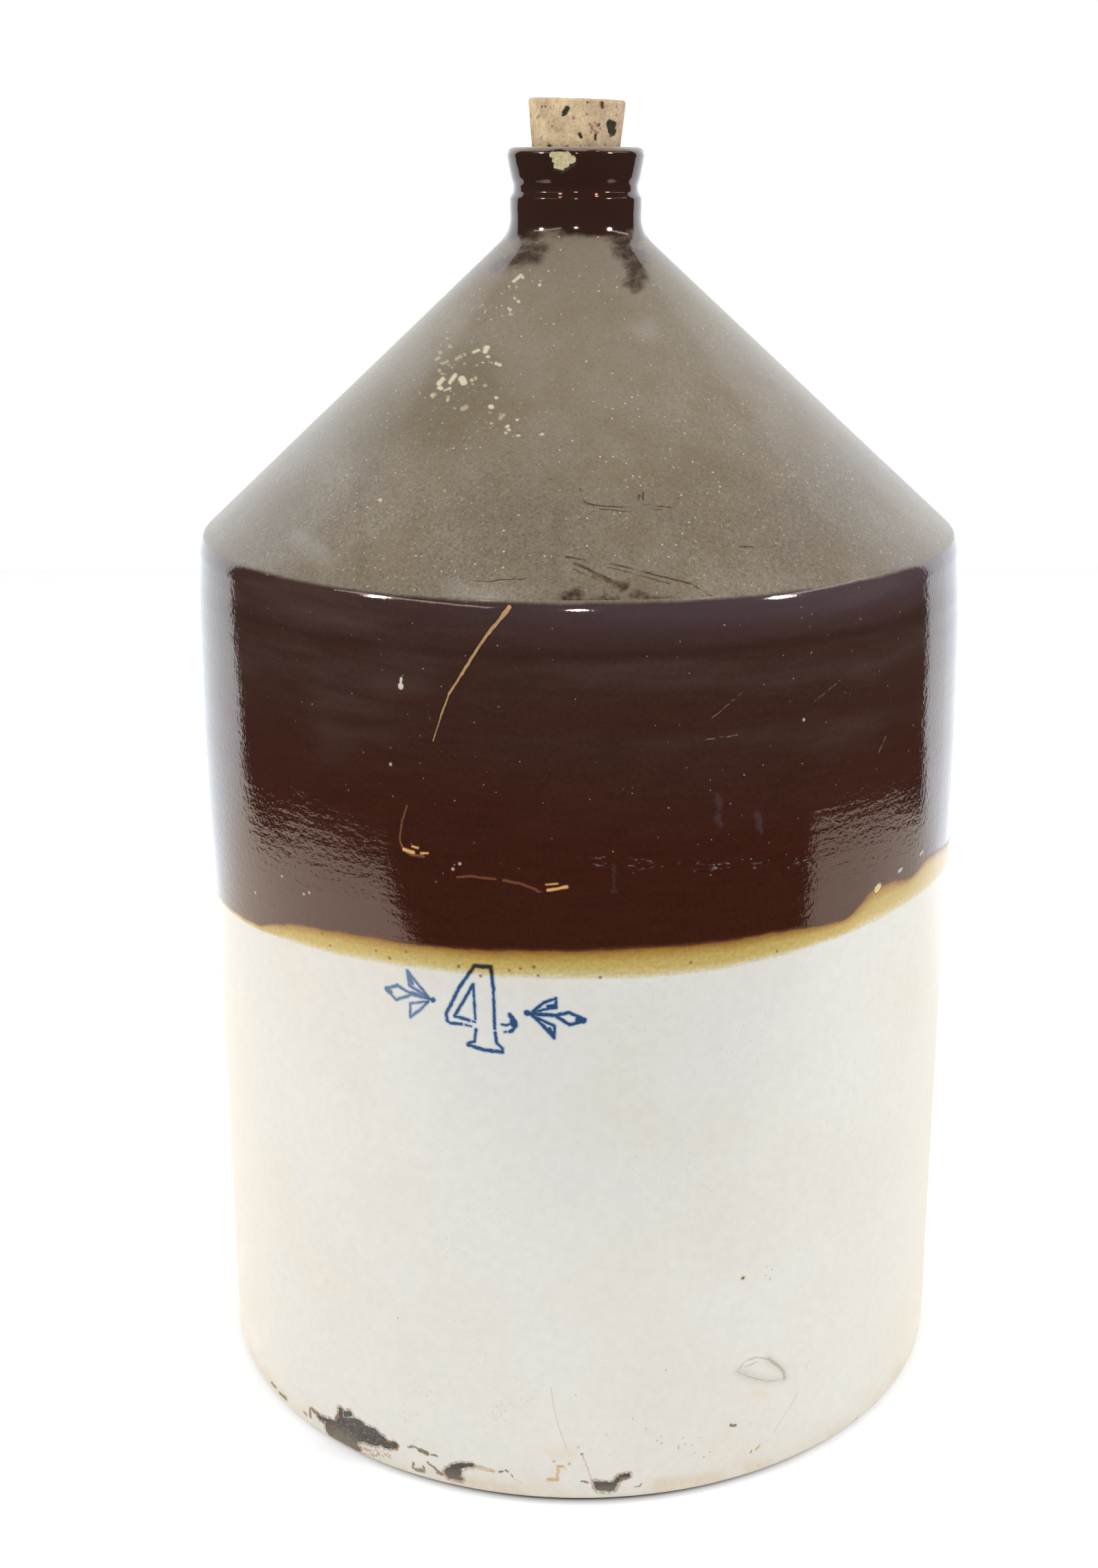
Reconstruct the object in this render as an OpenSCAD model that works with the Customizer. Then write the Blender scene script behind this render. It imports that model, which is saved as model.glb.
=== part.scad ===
// Four gallon shoulder jug: one-piece fired stoneware body with a strap handle, and its cork.
// Millimetres. The origin is the middle of the foot, +Z is up and the handle is on the +Y side.

/* [Body outline] */
// Radius of the wall at its widest, the belly
belly_r = 132.6; // [110:0.1:150]
// Radius of the wall at its slight waist
waist_r = 131.6; // [110:0.1:150]
// Radius of the wall at the foot
foot_r = 132.3; // [110:0.1:150]
// Radius of the wall just under the shoulder
shoulder_r = 130.2; // [110:0.1:150]
// Height at which the wall would meet the sloping shoulder
shoulder_h = 299; // [220:0.5:340]
// Height from there to where the slope would meet the neck
slope_h = 98.5; // [60:0.5:140]
// Height of the waist, as a share of the wall
waist_share = 0.44; // [0.3:0.01:0.5]
// Height of the belly, as a share of the wall
belly_share = 0.73; // [0.6:0.01:0.8]
// How late the wall turns in above the belly: 1 is at once, a larger number is later
turn_in = 4; // [1:0.5:6]
// Rounding of the shoulder's edge
shoulder_round = 8.5; // [3:0.5:14]
// Rounding of the outer edge of the foot
foot_round = 2.5; // [1:0.5:5]

/* [Neck and lip] */
// Outer radius of the neck
neck_r = 21.9; // [19:0.1:30]
// Hollow rounding between the shoulder and the neck
neck_fillet = 9; // [3:0.5:14]
// Height from where the slope would meet the neck up to the groove under the lip
neck_h = 14.5; // [10:0.5:30]
// Radius of the groove's hollow
groove_r = 1.2; // [0.6:0.1:2]
// Height of the lip above the groove
lip_h = 12.4; // [8:0.1:20]
// How far the lip stands out from the neck at its widest
lip_proud = 0.7; // [0.3:0.1:4]
// Rounding of the lip's outer top edge
lip_round = 3.2; // [1:0.1:4]

/* [Inside] */
// Thickness of the wall and the shoulder
wall_t = 9; // [5:0.5:11]
// Thickness of the floor above the foot
floor_t = 11; // [6:0.5:20]
// Hollow rounding between the floor and the wall
floor_round = 18; // [5:1:40]
// Hollow rounding under the shoulder
inner_shoulder_round = 14; // [5:1:30]
// Rounding where the inside of the shoulder runs into the bore
bore_round = 7; // [2:0.5:10]
// Width of the ring that the jug stands on
foot_ring_w = 16; // [8:1:30]
// Depth of the hollow inside that ring
foot_recess = 1.5; // [0.5:0.1:4]

/* [Cork] */
// Radius of the cork's top
cork_top_r = 16; // [12:0.1:16.5]
// Radius of the cork's bottom
cork_bottom_r = 12.7; // [10:0.1:14]
// Length of the cork
cork_l = 33; // [24:1:45]
// How far the cork stands above the lip
cork_stand = 14.8; // [6:0.1:20]
// Depth below the lip at which the cork bears on the mouth
seat_depth = 3; // [2:0.1:5]
// Clearance between the cork and the bore at that depth
seat_clearance = 0.15; // [0.1:0.05:0.3]
// Lean of the cork in the mouth, in degrees
cork_lean = 1.7; // [0:0.1:2]
// Rounding of the cork's worn top edge
cork_edge = 1; // [0.3:0.1:2]

/* [Handle] */
// Width of the strap
strap_w = 27; // [18:0.5:34]
// Thickness of the strap
strap_t = 10.5; // [7:0.5:14]
// Radius of the strap's bend, at the middle of its thickness
strap_bend_r = 33; // [30:0.5:38]
// Distance from the neck to the middle of the bend
strap_reach = 18.6; // [14:0.1:20]
// How far the middle of the bend lies below the shoulder's surface
strap_drop = 5; // [0:0.5:10]
// Spread of the clay that is smoothed on to the shoulder round the strap's lower end
root_spread = 6; // [2:0.5:9]
// Angle by which the strap's lower end runs on into the wall
root_sink = 8; // [4:1:9]

/* [Damage] */
// Depth of the largest flake off the foot
flake_depth = 1.5; // [0.5:0.1:3]
// Depth of the chip out of the lip
lip_chip_depth = 0.9; // [0.3:0.1:1.5]
// Height of the glaze blister above the wall
blister_h = 0.9; // [0.4:0.1:1.5]

/* [Hidden] */
$fn = 128;
arc_step = 9;
wall_steps = 8;
section_step = 15;
neck_embed = 0.75;

slope = slope_h / (shoulder_r - neck_r);
slope_a = atan(slope);
neck_base_z = shoulder_h + slope_h;
groove_z = neck_base_z + neck_h;
lip_top_z = groove_z + lip_h;
lip_r = neck_r + lip_proud;

// Height at which the wall's own curve ends and the straight rise to the shoulder starts
rise_z = shoulder_h - 1.7 * shoulder_round;

cork_taper = (cork_top_r - cork_bottom_r) / cork_l;
seat_z = lip_top_z - seat_depth;
cork_seat_l = cork_l - cork_stand - seat_depth;
bore_r = cork_bottom_r + cork_seat_l * cork_taper + seat_clearance;

// Middle of the strap's bend, and the angles of its ends in the neck and on the shoulder
bend_y = neck_r + strap_reach;
bend_z = slope_z(bend_y) - strap_drop;
neck_end_a = 180 - acos((bend_y - neck_embed * neck_r) / (strap_bend_r - strap_t / 2));
shoulder_end_a = asin(strap_drop * cos(slope_a) / strap_bend_r) - slope_a;

// Marks of wear, each as [degrees to the right of the front, height, half its height, depth]
flakes = [[-37.5, 10, 8.5, flake_depth]];
pocks = [
  [-17.7, 6.5, 4.5, 0.8],
  [4.6, 7, 4.5, 0.8],
  [-54, 3, 3.5, 0.9],
  [-64, 3.5, 3, 0.8],
  [46.6, 1, 2, 0.7],
  [45.6, 200.4, 2, 0.9]
];
blister_place = [26.8, 40.5];
blister_half = 6.5;
lip_chip_place = [-12.5, -4];
lip_chip_half = 4.6;

// Height of the shoulder's slope at a radius
function slope_z(r) = shoulder_h + (shoulder_r - r) * slope;

// Smooth run from a to b as t goes from 0 to 1
function ease(a, b, t) = a + (b - a) * (1 - cos(180 * t)) / 2;

// Outer radius of the wall at a height: foot, waist, belly and shoulder joined smoothly
function wall_r(z) =
  z < waist_share * rise_z ? ease(foot_r, waist_r, z / (waist_share * rise_z)) :
  z < belly_share * rise_z ?
    ease(waist_r, belly_r, (z / rise_z - waist_share) / (belly_share - waist_share)) :
  ease(belly_r, shoulder_r,
    pow(min(1, (z / rise_z - belly_share) / (1 - belly_share)), turn_in));

// Heights at which the wall's curve is drawn, between two heights
function wall_heights(low, high) =
  [for (k = [0:3 * wall_steps]) low + (high - low) * k / (3 * wall_steps)];

function unit(v) = v / norm(v);

// Sine or cosine raised to a power with its sign kept, which squares up an oval
function squared(share, power) = sign(share) * pow(abs(share), power);

// Arc that rounds the corner b between a and c with a given radius
function corner_arc(a, b, c, radius) =
  let (
    u = unit(a - b),
    v = unit(c - b),
    half = acos(u * v) / 2,
    run = radius / tan(half),
    centre = b + unit(u + v) * radius / sin(half),
    start = b + u * run - centre,
    turn = (u.x * v.y - u.y * v.x > 0 ? -1 : 1) * (180 - 2 * half),
    count = max(2, ceil(abs(turn) / arc_step))
  )
  [for (k = [0:count])
    let (w = turn * k / count)
    centre + [start.x * cos(w) - start.y * sin(w), start.x * sin(w) + start.y * cos(w)]];

// Outline from corners given as [radius, height, rounding]; a rounding of 0 keeps the corner
function rounded(corners) =
  [for (i = [0:len(corners) - 1])
    let (
      here = corners[i],
      before = corners[max(0, i - 1)],
      after = corners[min(len(corners) - 1, i + 1)]
    )
    each here[2] == 0 ? [[here.x, here.y]] :
      corner_arc([before.x, before.y], [here.x, here.y], [after.x, after.y], here[2])];

// Outside of the body from the middle of the foot up to the lip and back to the axis
function outer_outline() =
  let (
    ring_r = foot_r - foot_ring_w,
    groove_half = groove_r * 0.9
  )
  rounded(concat(
    [
      [0, foot_recess, 0],
      [ring_r - foot_recess, foot_recess, 0],
      [ring_r, 0, 0],
      [foot_r, 0, foot_round]
    ],
    [for (z = wall_heights(2 * foot_round, rise_z)) [wall_r(z), z, 0]],
    [
      [shoulder_r, shoulder_h, shoulder_round],
      [neck_r, neck_base_z, neck_fillet],
      [neck_r, groove_z - groove_half, groove_r / 2],
      [neck_r - groove_r * 0.8, groove_z, groove_r / 2],
      [neck_r, groove_z + groove_r * 1.6, groove_r],
      [lip_r, lip_top_z - lip_round - 0.1, 0],
      [lip_r - 0.2, lip_top_z, lip_round],
      [0, lip_top_z, 0]
    ]
  ));

// Inside of the body from the middle of the floor up through the bore
function inner_outline() =
  let (
    drop = wall_t / cos(slope_a),
    inner_r = shoulder_r - wall_t
  )
  rounded(concat(
    [
      [0, floor_t, 0],
      [foot_r - wall_t, floor_t, floor_round]
    ],
    [for (z = wall_heights(floor_t + 2 * floor_round, rise_z - inner_shoulder_round))
      [wall_r(z) - wall_t, z, 0]],
    [
      [inner_r, slope_z(inner_r) - drop, inner_shoulder_round],
      [bore_r, slope_z(bore_r) - drop, bore_round],
      [bore_r, seat_z, 0]
    ]
  ));

// Flared mouth above the cork's seat, a quarter round that opens at the lip's top
function mouth_outline() =
  concat(
    [[0, seat_z]],
    [for (w = [0:15:90])
      [bore_r + seat_depth * (1 - cos(w)), seat_z + seat_depth * sin(w)]],
    [[0, lip_top_z]]
  );

// Flat oval of the strap's section, its width along X, as a pulled strap has it
module strap_section() {
  polygon([for (w = [0:section_step:360 - section_step])
    [squared(cos(w), 0.65) * strap_w / 2, squared(sin(w), 0.8) * strap_t / 2]]);
}

// Strap in one bend from inside the wall of the neck over to the shoulder
module strap() {
  low_a = shoulder_end_a - root_sink;
  translate([0, bend_y, bend_z])
    rotate([90, 0, 90])
      rotate([0, 0, low_a])
        rotate_extrude(angle = neck_end_a - low_a)
          translate([strap_bend_r, 0])
            rotate(90)
              strap_section();
}

// Half section of the smoothed clay round a root: a hollow quarter round with a sunk base
module root_profile() {
  sink = wall_t / 3;
  half = strap_t / 2;
  polygon(concat(
    [[0, -sink], [half + root_spread, -sink]],
    [for (w = [0:15:90])
      [half + root_spread * (1 - sin(w)), root_spread * (1 - cos(w))]],
    [[0, root_spread]]
  ));
}

// Clay smoothed round the strap's lower end, square to the shoulder's slope
module strap_root() {
  run = strap_w - strap_t;
  lift = wall_t / 9;
  root_y = bend_y + strap_bend_r * cos(shoulder_end_a);
  translate([0, root_y, slope_z(root_y)])
    rotate([-slope_a, 0, 0])
      translate([0, 0, -lift]) {
        for (side = [-1, 1]) {
          translate([side * run / 2, 0, 0])
            rotate_extrude()
              root_profile();
          translate([-run / 2, 0, 0])
            rotate([90, 0, 90])
              linear_extrude(height = run)
                mirror([side > 0 ? 0 : 1, 0])
                  root_profile();
        }
      }
}

// Point on the wall at an angle from the front and a height
module on_wall(angle, height) {
  rotate([0, 0, angle])
    translate([0, -wall_r(height), height])
      children();
}

// Wide shell flake: a level round bar laid against the wall, as wide as the wall's curve makes it
module flake(angle, height, half_h, depth) {
  bar_r = half_h * half_h / (2 * depth);
  on_wall(angle, height)
    translate([0, depth - bar_r, 0])
      translate([-belly_r / 2, 0, 0])
        rotate([0, 90, 0])
          cylinder(r = bar_r, h = belly_r);
}

// Small round pit or nick
module pock(angle, height, half_h, depth) {
  ball_r = half_h * half_h / (2 * depth);
  on_wall(angle, height)
    translate([0, depth - ball_r, 0])
      sphere(r = ball_r);
}

// Raised bubble in the glaze
module blister() {
  ball_r = blister_half * blister_half / (2 * blister_h);
  on_wall(blister_place[0], blister_place[1])
    translate([0, ball_r - blister_h, 0])
      sphere(r = ball_r);
}

// Chip out of the outside of the lip
module lip_chip() {
  ball_r = lip_chip_half * lip_chip_half / (2 * lip_chip_depth);
  rotate([0, 0, lip_chip_place[0]])
    translate([0, lip_chip_depth - ball_r - lip_r, lip_top_z + lip_chip_place[1]])
      sphere(r = ball_r);
}

// Stoneware body, hollow, with its handle and its wear
module jug() {
  color([0.82, 0.8, 0.73])
    difference() {
      union() {
        rotate_extrude()
          polygon(outer_outline());
        strap();
        strap_root();
        blister();
      }
      rotate_extrude()
        polygon(concat(inner_outline(), [[0, seat_z]]));
      rotate_extrude()
        polygon(mouth_outline());
      for (m = flakes)
        flake(m[0], m[1], m[2], m[3]);
      for (m = pocks)
        pock(m[0], m[1], m[2], m[3]);
      lip_chip();
    }
}

// Tapered cork, leaning a little on its seat in the mouth
module cork() {
  color([0.8, 0.7, 0.54])
    translate([0, 0, seat_z])
      rotate([0, cork_lean, 0])
        translate([0, 0, -cork_seat_l])
          rotate_extrude()
            polygon(rounded([
              [0, 0, 0],
              [cork_bottom_r, 0, cork_edge],
              [cork_top_r, cork_l, cork_edge],
              [0, cork_l, 0]
            ]));
}

jug();
cork();
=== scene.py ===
"""Looks of a four gallon shoulder jug and its cork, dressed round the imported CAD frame.

Sizes of the pieces are written in millimetres and turned into metres when a mesh is made.
The front of the jug faces -Y, and places on its wall are given as millimetres round the
wall to the right of the front and millimetres above the foot.
"""

import logging
import math
from collections.abc import Callable, Mapping, Sequence
from dataclasses import dataclass
from enum import Enum

import bmesh
import bpy
from mathutils import Matrix, Vector, noise


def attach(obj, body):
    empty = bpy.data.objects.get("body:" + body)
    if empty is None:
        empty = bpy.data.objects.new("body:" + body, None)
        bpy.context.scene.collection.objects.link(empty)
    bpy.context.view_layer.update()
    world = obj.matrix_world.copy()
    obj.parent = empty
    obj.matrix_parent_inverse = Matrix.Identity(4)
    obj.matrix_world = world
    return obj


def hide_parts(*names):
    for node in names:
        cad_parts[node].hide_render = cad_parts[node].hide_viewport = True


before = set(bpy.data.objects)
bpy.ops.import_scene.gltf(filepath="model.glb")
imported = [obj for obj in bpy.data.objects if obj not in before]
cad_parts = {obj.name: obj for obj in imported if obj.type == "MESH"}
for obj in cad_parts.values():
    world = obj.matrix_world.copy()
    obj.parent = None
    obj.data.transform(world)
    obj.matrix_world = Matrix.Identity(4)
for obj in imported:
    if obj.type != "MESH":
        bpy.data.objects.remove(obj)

log = logging.getLogger("jug")

MM = 0.001
WALL_R = 132.2
Spot = tuple[float, float]
Colour = tuple[float, float, float]
Socket = bpy.types.NodeSocket


def tint(red: float, green: float, blue: float) -> Colour:
    """Turn a colour as a picture shows it into the linear colour that a shader takes.

    Args:
        red: Red part, 0 to 255.
        green: Green part, 0 to 255.
        blue: Blue part, 0 to 255.

    Returns:
        The three linear parts, 0 to 1.
    """
    shares = [part / 255 for part in (red, green, blue)]
    return tuple(s / 12.92 if s < 0.04045 else ((s + 0.055) / 1.055) ** 2.4 for s in shares)


def ease(share: float) -> float:
    """Run smoothly from 0 to 1 as the share does, and stay there outside it."""
    share = min(1.0, max(0.0, share))
    return share * share * (3 - 2 * share)


def through(table: Sequence[Spot], place: float) -> float:
    """Read a table of (place, value) pairs at a place, smoothly between its rows."""
    if place <= table[0][0]:
        return table[0][1]
    for (low, start), (high, end) in zip(table, table[1:]):
        if place <= high:
            return start + (end - start) * ease((place - low) / (high - low))
    return table[-1][1]


@dataclass(frozen=True)
class Stroke:
    """A bent line on a surface, in millimetres, or a dot where it has one point."""

    points: tuple[Spot, ...]
    half: float

    def legs(self) -> list[tuple[Spot, Spot]]:
        """Return the straight legs of the line; a dot has one leg of no length."""
        return list(zip(self.points, self.points[1:])) or [(self.points[0],) * 2]

    def gap(self, spot: Spot) -> float:
        """Measure how far a spot is outside the stroke; inside it is below zero."""
        here, least = Vector(spot), math.inf
        for start, end in self.legs():
            run = Vector(end) - Vector(start)
            share = (here - Vector(start)).dot(run) / max(run.length_squared, 1e-9)
            near = Vector(start) + run * min(1.0, max(0.0, share))
            least = min(least, (here - near).length - self.half)
        return least


Strokes = tuple[Stroke, ...]


def lines(*rows: Sequence[float]) -> Strokes:
    """Make strokes from rows, each a half width and then u, v of one point after another."""
    return tuple(Stroke(tuple(zip(row[1::2], row[2::2])), row[0]) for row in rows)


def dots(half: float, *spots: Spot) -> Strokes:
    """Make dots of one half width at the given spots."""
    return tuple(Stroke((spot,), half) for spot in spots)


def placed(strokes: Strokes, around: float = 0.0, up: float = 0.0, steep: float = 1.0) -> Strokes:
    """Return the strokes with their heights times steep, then shifted by the millimetres."""
    return tuple(
        Stroke(tuple((u + around, v * steep + up) for u, v in s.points), s.half) for s in strokes
    )


class Term:
    """One value in a shader, on which Python's operators add Math nodes."""

    def __init__(self, board: "Board", socket: Socket) -> None:
        """Wrap a socket of a board."""
        self.board = board
        self.socket = socket

    def __add__(self, other: "Number") -> "Term":
        """Return self + other."""
        return self.board.math("ADD", self, other)

    __radd__ = __add__

    def __sub__(self, other: "Number") -> "Term":
        """Return self - other."""
        return self.board.math("SUBTRACT", self, other)

    def __rsub__(self, other: "Number") -> "Term":
        """Return other - self."""
        return self.board.math("SUBTRACT", other, self)

    def __mul__(self, other: "Number") -> "Term":
        """Return self * other."""
        return self.board.math("MULTIPLY", self, other)

    __rmul__ = __mul__

    def __truediv__(self, other: "Number") -> "Term":
        """Return self / other."""
        return self.board.math("DIVIDE", self, other)

    def __abs__(self) -> "Term":
        """Return the value without its sign."""
        return self.board.math("ABSOLUTE", self)

    def least(self, other: "Number") -> "Term":
        """Return the smaller of the two."""
        return self.board.math("MINIMUM", self, other)

    def most(self, other: "Number") -> "Term":
        """Return the larger of the two."""
        return self.board.math("MAXIMUM", self, other)


Number = Term | float


class Board:
    """The node tree of one material or of the world."""

    def __init__(self, tree: bpy.types.NodeTree) -> None:
        """Start on an empty tree."""
        self.tree = tree
        tree.nodes.clear()

    @staticmethod
    def pick(sockets: bpy.types.bpy_prop_collection, key: str) -> Socket:
        """Find a socket by its identifier, or else by its name."""
        return next((s for s in sockets if s.identifier == key), None) or sockets[key]

    def node(
        self,
        kind: str,
        settings: Mapping[str, object] | None = None,
        sockets: Mapping[str, object] | None = None,
    ) -> bpy.types.Node:
        """Add a node, set it up and feed its sockets.

        Args:
            kind: Blender's name of the node's type.
            settings: Its own properties; "stops" and "between" are a ramp's stops and
                the name of what runs between them.
            sockets: Values, terms or sockets, by the identifier of the input they feed.

        Returns:
            The new node.
        """
        made = self.tree.nodes.new(kind)
        for name, value in (settings or {}).items():
            if name == "stops":
                self._set_stops(made.color_ramp, value)
            elif name == "between":
                made.color_ramp.interpolation = value
            else:
                setattr(made, name, value)
        for name, value in (sockets or {}).items():
            target = self.pick(made.inputs, name)
            source = value.socket if isinstance(value, Term) else value
            if isinstance(source, Socket):
                self.tree.links.new(source, target)
            elif target.type == "RGBA" and len(source) == 3:
                target.default_value = (*source, 1.0)
            else:
                target.default_value = source
        return made

    @staticmethod
    def _set_stops(ramp: bpy.types.ColorRamp, stops: Sequence[tuple[float, Colour]]) -> None:
        """Give a ramp its stops, each a place and a colour."""
        while len(ramp.elements) < len(stops):
            ramp.elements.new(0.5)
        for element, (place, colour) in zip(ramp.elements, stops):
            element.position = place
            element.color = (*colour, 1.0)

    def math(self, operation: str, *parts: Number, clamp: bool = False) -> Term:
        """Add a Math node on up to three values."""
        names = ("Value", "Value_001", "Value_002")
        made = self.node(
            "ShaderNodeMath", {"operation": operation, "use_clamp": clamp}, dict(zip(names, parts))
        )
        return Term(self, made.outputs["Value"])

    def vector(self, operation: str, *parts: object, scale: Number | None = None) -> Socket:
        """Add a Vector Math node and return its vector."""
        sockets = dict(zip(("Vector", "Vector_001", "Vector_002"), parts))
        if scale is not None:
            sockets["Scale"] = scale
        made = self.node("ShaderNodeVectorMath", {"operation": operation}, sockets)
        return made.outputs["Vector"]

    def measure(self, operation: str, *parts: object) -> Term:
        """Add a Vector Math node and return its one value."""
        sockets = dict(zip(("Vector", "Vector_001"), parts))
        made = self.node("ShaderNodeVectorMath", {"operation": operation}, sockets)
        return Term(self, made.outputs["Value"])

    def split(self, vector: Socket) -> tuple[Term, Term, Term]:
        """Return a vector's three parts."""
        made = self.node("ShaderNodeSeparateXYZ", None, {"Vector": vector})
        return tuple(Term(self, made.outputs[axis]) for axis in "XYZ")

    def join(self, x: Number, y: Number, z: Number = 0.0) -> Socket:
        """Return a vector of three parts."""
        return self.node("ShaderNodeCombineXYZ", None, {"X": x, "Y": y, "Z": z}).outputs["Vector"]

    def mix(self, share: Number, first: object, second: object, how: str = "MIX") -> Socket:
        """Mix two colours by a share of the second."""
        made = self.node(
            "ShaderNodeMix",
            {"data_type": "RGBA", "blend_type": how},
            {"Factor_Float": share, "A_Color": first, "B_Color": second},
        )
        return self.pick(made.outputs, "Result_Color")

    def fade(self, value: Term, start: float, end: float) -> Term:
        """Run smoothly from 0 where the value is start to 1 where it is end."""
        made = self.node(
            "ShaderNodeMapRange",
            {"interpolation_type": "SMOOTHSTEP"},
            {"Value": value, "From Min": start, "From Max": end},
        )
        return Term(self, made.outputs["Result"])

    def noise(self, place: Socket, scale: float, detail: float = 2.0, rough: float = 0.5) -> Term:
        """Return smooth noise about 0.5, of so many features to a millimetre."""
        made = self.node(
            "ShaderNodeTexNoise",
            None,
            {"Vector": place, "Scale": scale, "Detail": detail, "Roughness": rough},
        )
        return Term(self, made.outputs["Fac"])

    def cells(self, place: Socket, scale: float) -> tuple[Term, Term]:
        """Return the distance to scattered points and a random value of each point."""
        made = self.node("ShaderNodeTexVoronoi", None, {"Vector": place, "Scale": scale})
        chance = self.node("ShaderNodeSeparateColor", None, {"Color": made.outputs["Color"]})
        return Term(self, made.outputs["Distance"]), Term(self, chance.outputs["Red"])

    def ramp(self, value: Term, stops: Sequence[tuple[float, Colour]], between: str) -> Socket:
        """Return the colour that a ramp has at a value."""
        made = self.node(
            "ShaderNodeValToRGB", {"between": between, "stops": stops}, {"Fac": value}
        )
        return made.outputs["Color"]

    def curve(self, value: Term, table: Sequence[Spot], low: float, high: float) -> Term:
        """Return a table's value, which lies between low and high, at a place from 0 to 1."""
        stops = [(at, ((found - low) / (high - low),) * 3) for at, found in table]
        colour = self.ramp(value, stops, "CARDINAL")
        grey = self.node("ShaderNodeSeparateColor", None, {"Color": colour})
        return Term(self, grey.outputs["Red"]) * (high - low) + low

    def roughen(self, place: Socket, amount: float, scale: float) -> Socket:
        """Shake a place by noise, so that what is drawn on it gets ragged edges."""
        shaken = self.node(
            "ShaderNodeTexNoise", None, {"Vector": place, "Scale": scale, "Detail": 3.0}
        )
        middle = self.vector("SUBTRACT", place, (amount, amount, 0.0))
        return self.vector(
            "MULTIPLY_ADD", shaken.outputs["Color"], (2 * amount, 2 * amount, 0.0), middle
        )

    def gap(self, place: Socket, strokes: Strokes) -> Term:
        """Measure how far a place is outside the nearest of the strokes."""
        least = None
        for stroke in strokes:
            for start, end in stroke.legs():
                run = Vector(end) - Vector(start)
                if run.length < 1e-6:
                    found = self.measure("DISTANCE", place, (*start, 0.0))
                else:
                    aim = run / run.length_squared
                    along = self.measure("DOT_PRODUCT", place, (*aim, 0.0))
                    share = self.math("SUBTRACT", along, aim.dot(Vector(start)), clamp=True)
                    way = self.vector("SCALE", (*run, 0.0), scale=share)
                    near = self.vector("ADD", way, (*start, 0.0))
                    found = self.measure("DISTANCE", place, near)
                found = found - stroke.half
                least = found if least is None else least.least(found)
        return least

    def mask(
        self, place: Socket, strokes: Strokes, start: float, end: float, steep: float = 1.0
    ) -> Term:
        """Draw strokes, from 0 where a place is start outside them to 1 where it is end."""
        return self.fade(self.gap(place, placed(strokes, steep=steep)), start, end)

    def mottle(
        self,
        place: Socket,
        scale: float,
        start: float,
        end: float,
        detail: float = 2.0,
        rough: float = 0.5,
    ) -> Term:
        """Return patches of noise, from 0 where it is start to 1 where it is end."""
        return self.fade(self.noise(place, scale, detail, rough), start, end)

    def show(self, shader: Socket, kind: str = "Material") -> None:
        """Put a shader on the surface of the material, or of the world."""
        self.node(f"ShaderNodeOutput{kind}", None, {"Surface": shader})


@dataclass
class Look:
    """What a shader shows at a point: a colour, a roughness and a relief in millimetres."""

    board: Board
    colour: Socket
    rough: Term
    relief: Term

    def cover(
        self,
        mask: Term,
        colour: object | None = None,
        rough: Number | None = None,
        relief: float = 0.0,
    ) -> None:
        """Lay a mark over what is there.

        Args:
            mask: How much of the mark there is, 0 to 1.
            colour: The mark's colour, or None to keep the colour below.
            rough: The mark's roughness, or None to keep the roughness below.
            relief: How far the mark stands up, in millimetres.
        """
        if colour is not None:
            self.colour = self.board.mix(mask, self.colour, colour)
        if rough is not None:
            self.rough = self.rough + (rough - self.rough) * mask
        if relief:
            self.relief = self.relief + mask * relief

    def shade(self, factor: Term) -> None:
        """Make the colour lighter or darker by a factor."""
        grey = self.board.join(factor, factor, factor)
        self.colour = self.board.mix(1.0, self.colour, grey, "MULTIPLY")

    def shader(self, **sockets: object) -> Socket:
        """Turn the look into a shader.

        Args:
            **sockets: Values of other sockets, with _ for each blank in their names.

        Returns:
            The shader's output.
        """
        normal = self.board.node(
            "ShaderNodeBump", None, {"Distance": MM, "Height": self.relief}
        ).outputs["Normal"]
        shown = {"Base Color": self.colour, "Roughness": self.rough, "Normal": normal}
        others = {name.replace("_", " "): value for name, value in sockets.items()}
        made = self.board.node("ShaderNodeBsdfPrincipled", None, {**shown, **others})
        return made.outputs["BSDF"]


def new_material(name: str) -> tuple[bpy.types.Material, Board]:
    """Make a material and the board for its nodes."""
    made = bpy.data.materials.new(name)
    made.use_nodes = True
    return made, Board(made.node_tree)


@dataclass
class Ground:
    """Where a shading point of the jug is, in millimetres, in the ways that marks need."""

    point: Socket
    side: Term
    depth: Term
    height: Term
    turn: Term
    wall: Socket
    slope: Socket
    streaks: Socket
    upward: Term

    STEEP = 1.4827

    @classmethod
    def read(cls, board: Board) -> "Ground":
        """Work the places out from the Object coordinates."""
        coords = board.node("ShaderNodeTexCoord")
        point = board.vector("SCALE", coords.outputs["Object"], scale=1000.0)
        x, y, z = board.split(point)
        angle = board.math("ARCTAN2", x, 0.0 - y)
        return cls(
            point=point,
            side=x,
            depth=y,
            height=z,
            turn=angle / (2 * math.pi) + 0.5,
            wall=board.join(angle * WALL_R, z),
            slope=board.join(x, z * cls.STEEP),
            streaks=board.vector("MULTIPLY", point, (0.16, 0.16, 1.0)),
            upward=board.split(coords.outputs["Normal"])[2],
        )


class Zone(Enum):
    """The parts of the jug's surface, each with a finish of its own."""

    LOWER = "lower_wall"
    BAND = "band"
    UPPER = "upper_wall"
    SHOULDER = "shoulder"
    INSIDE = "inside"
    BARE = "bare_foot"


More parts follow.
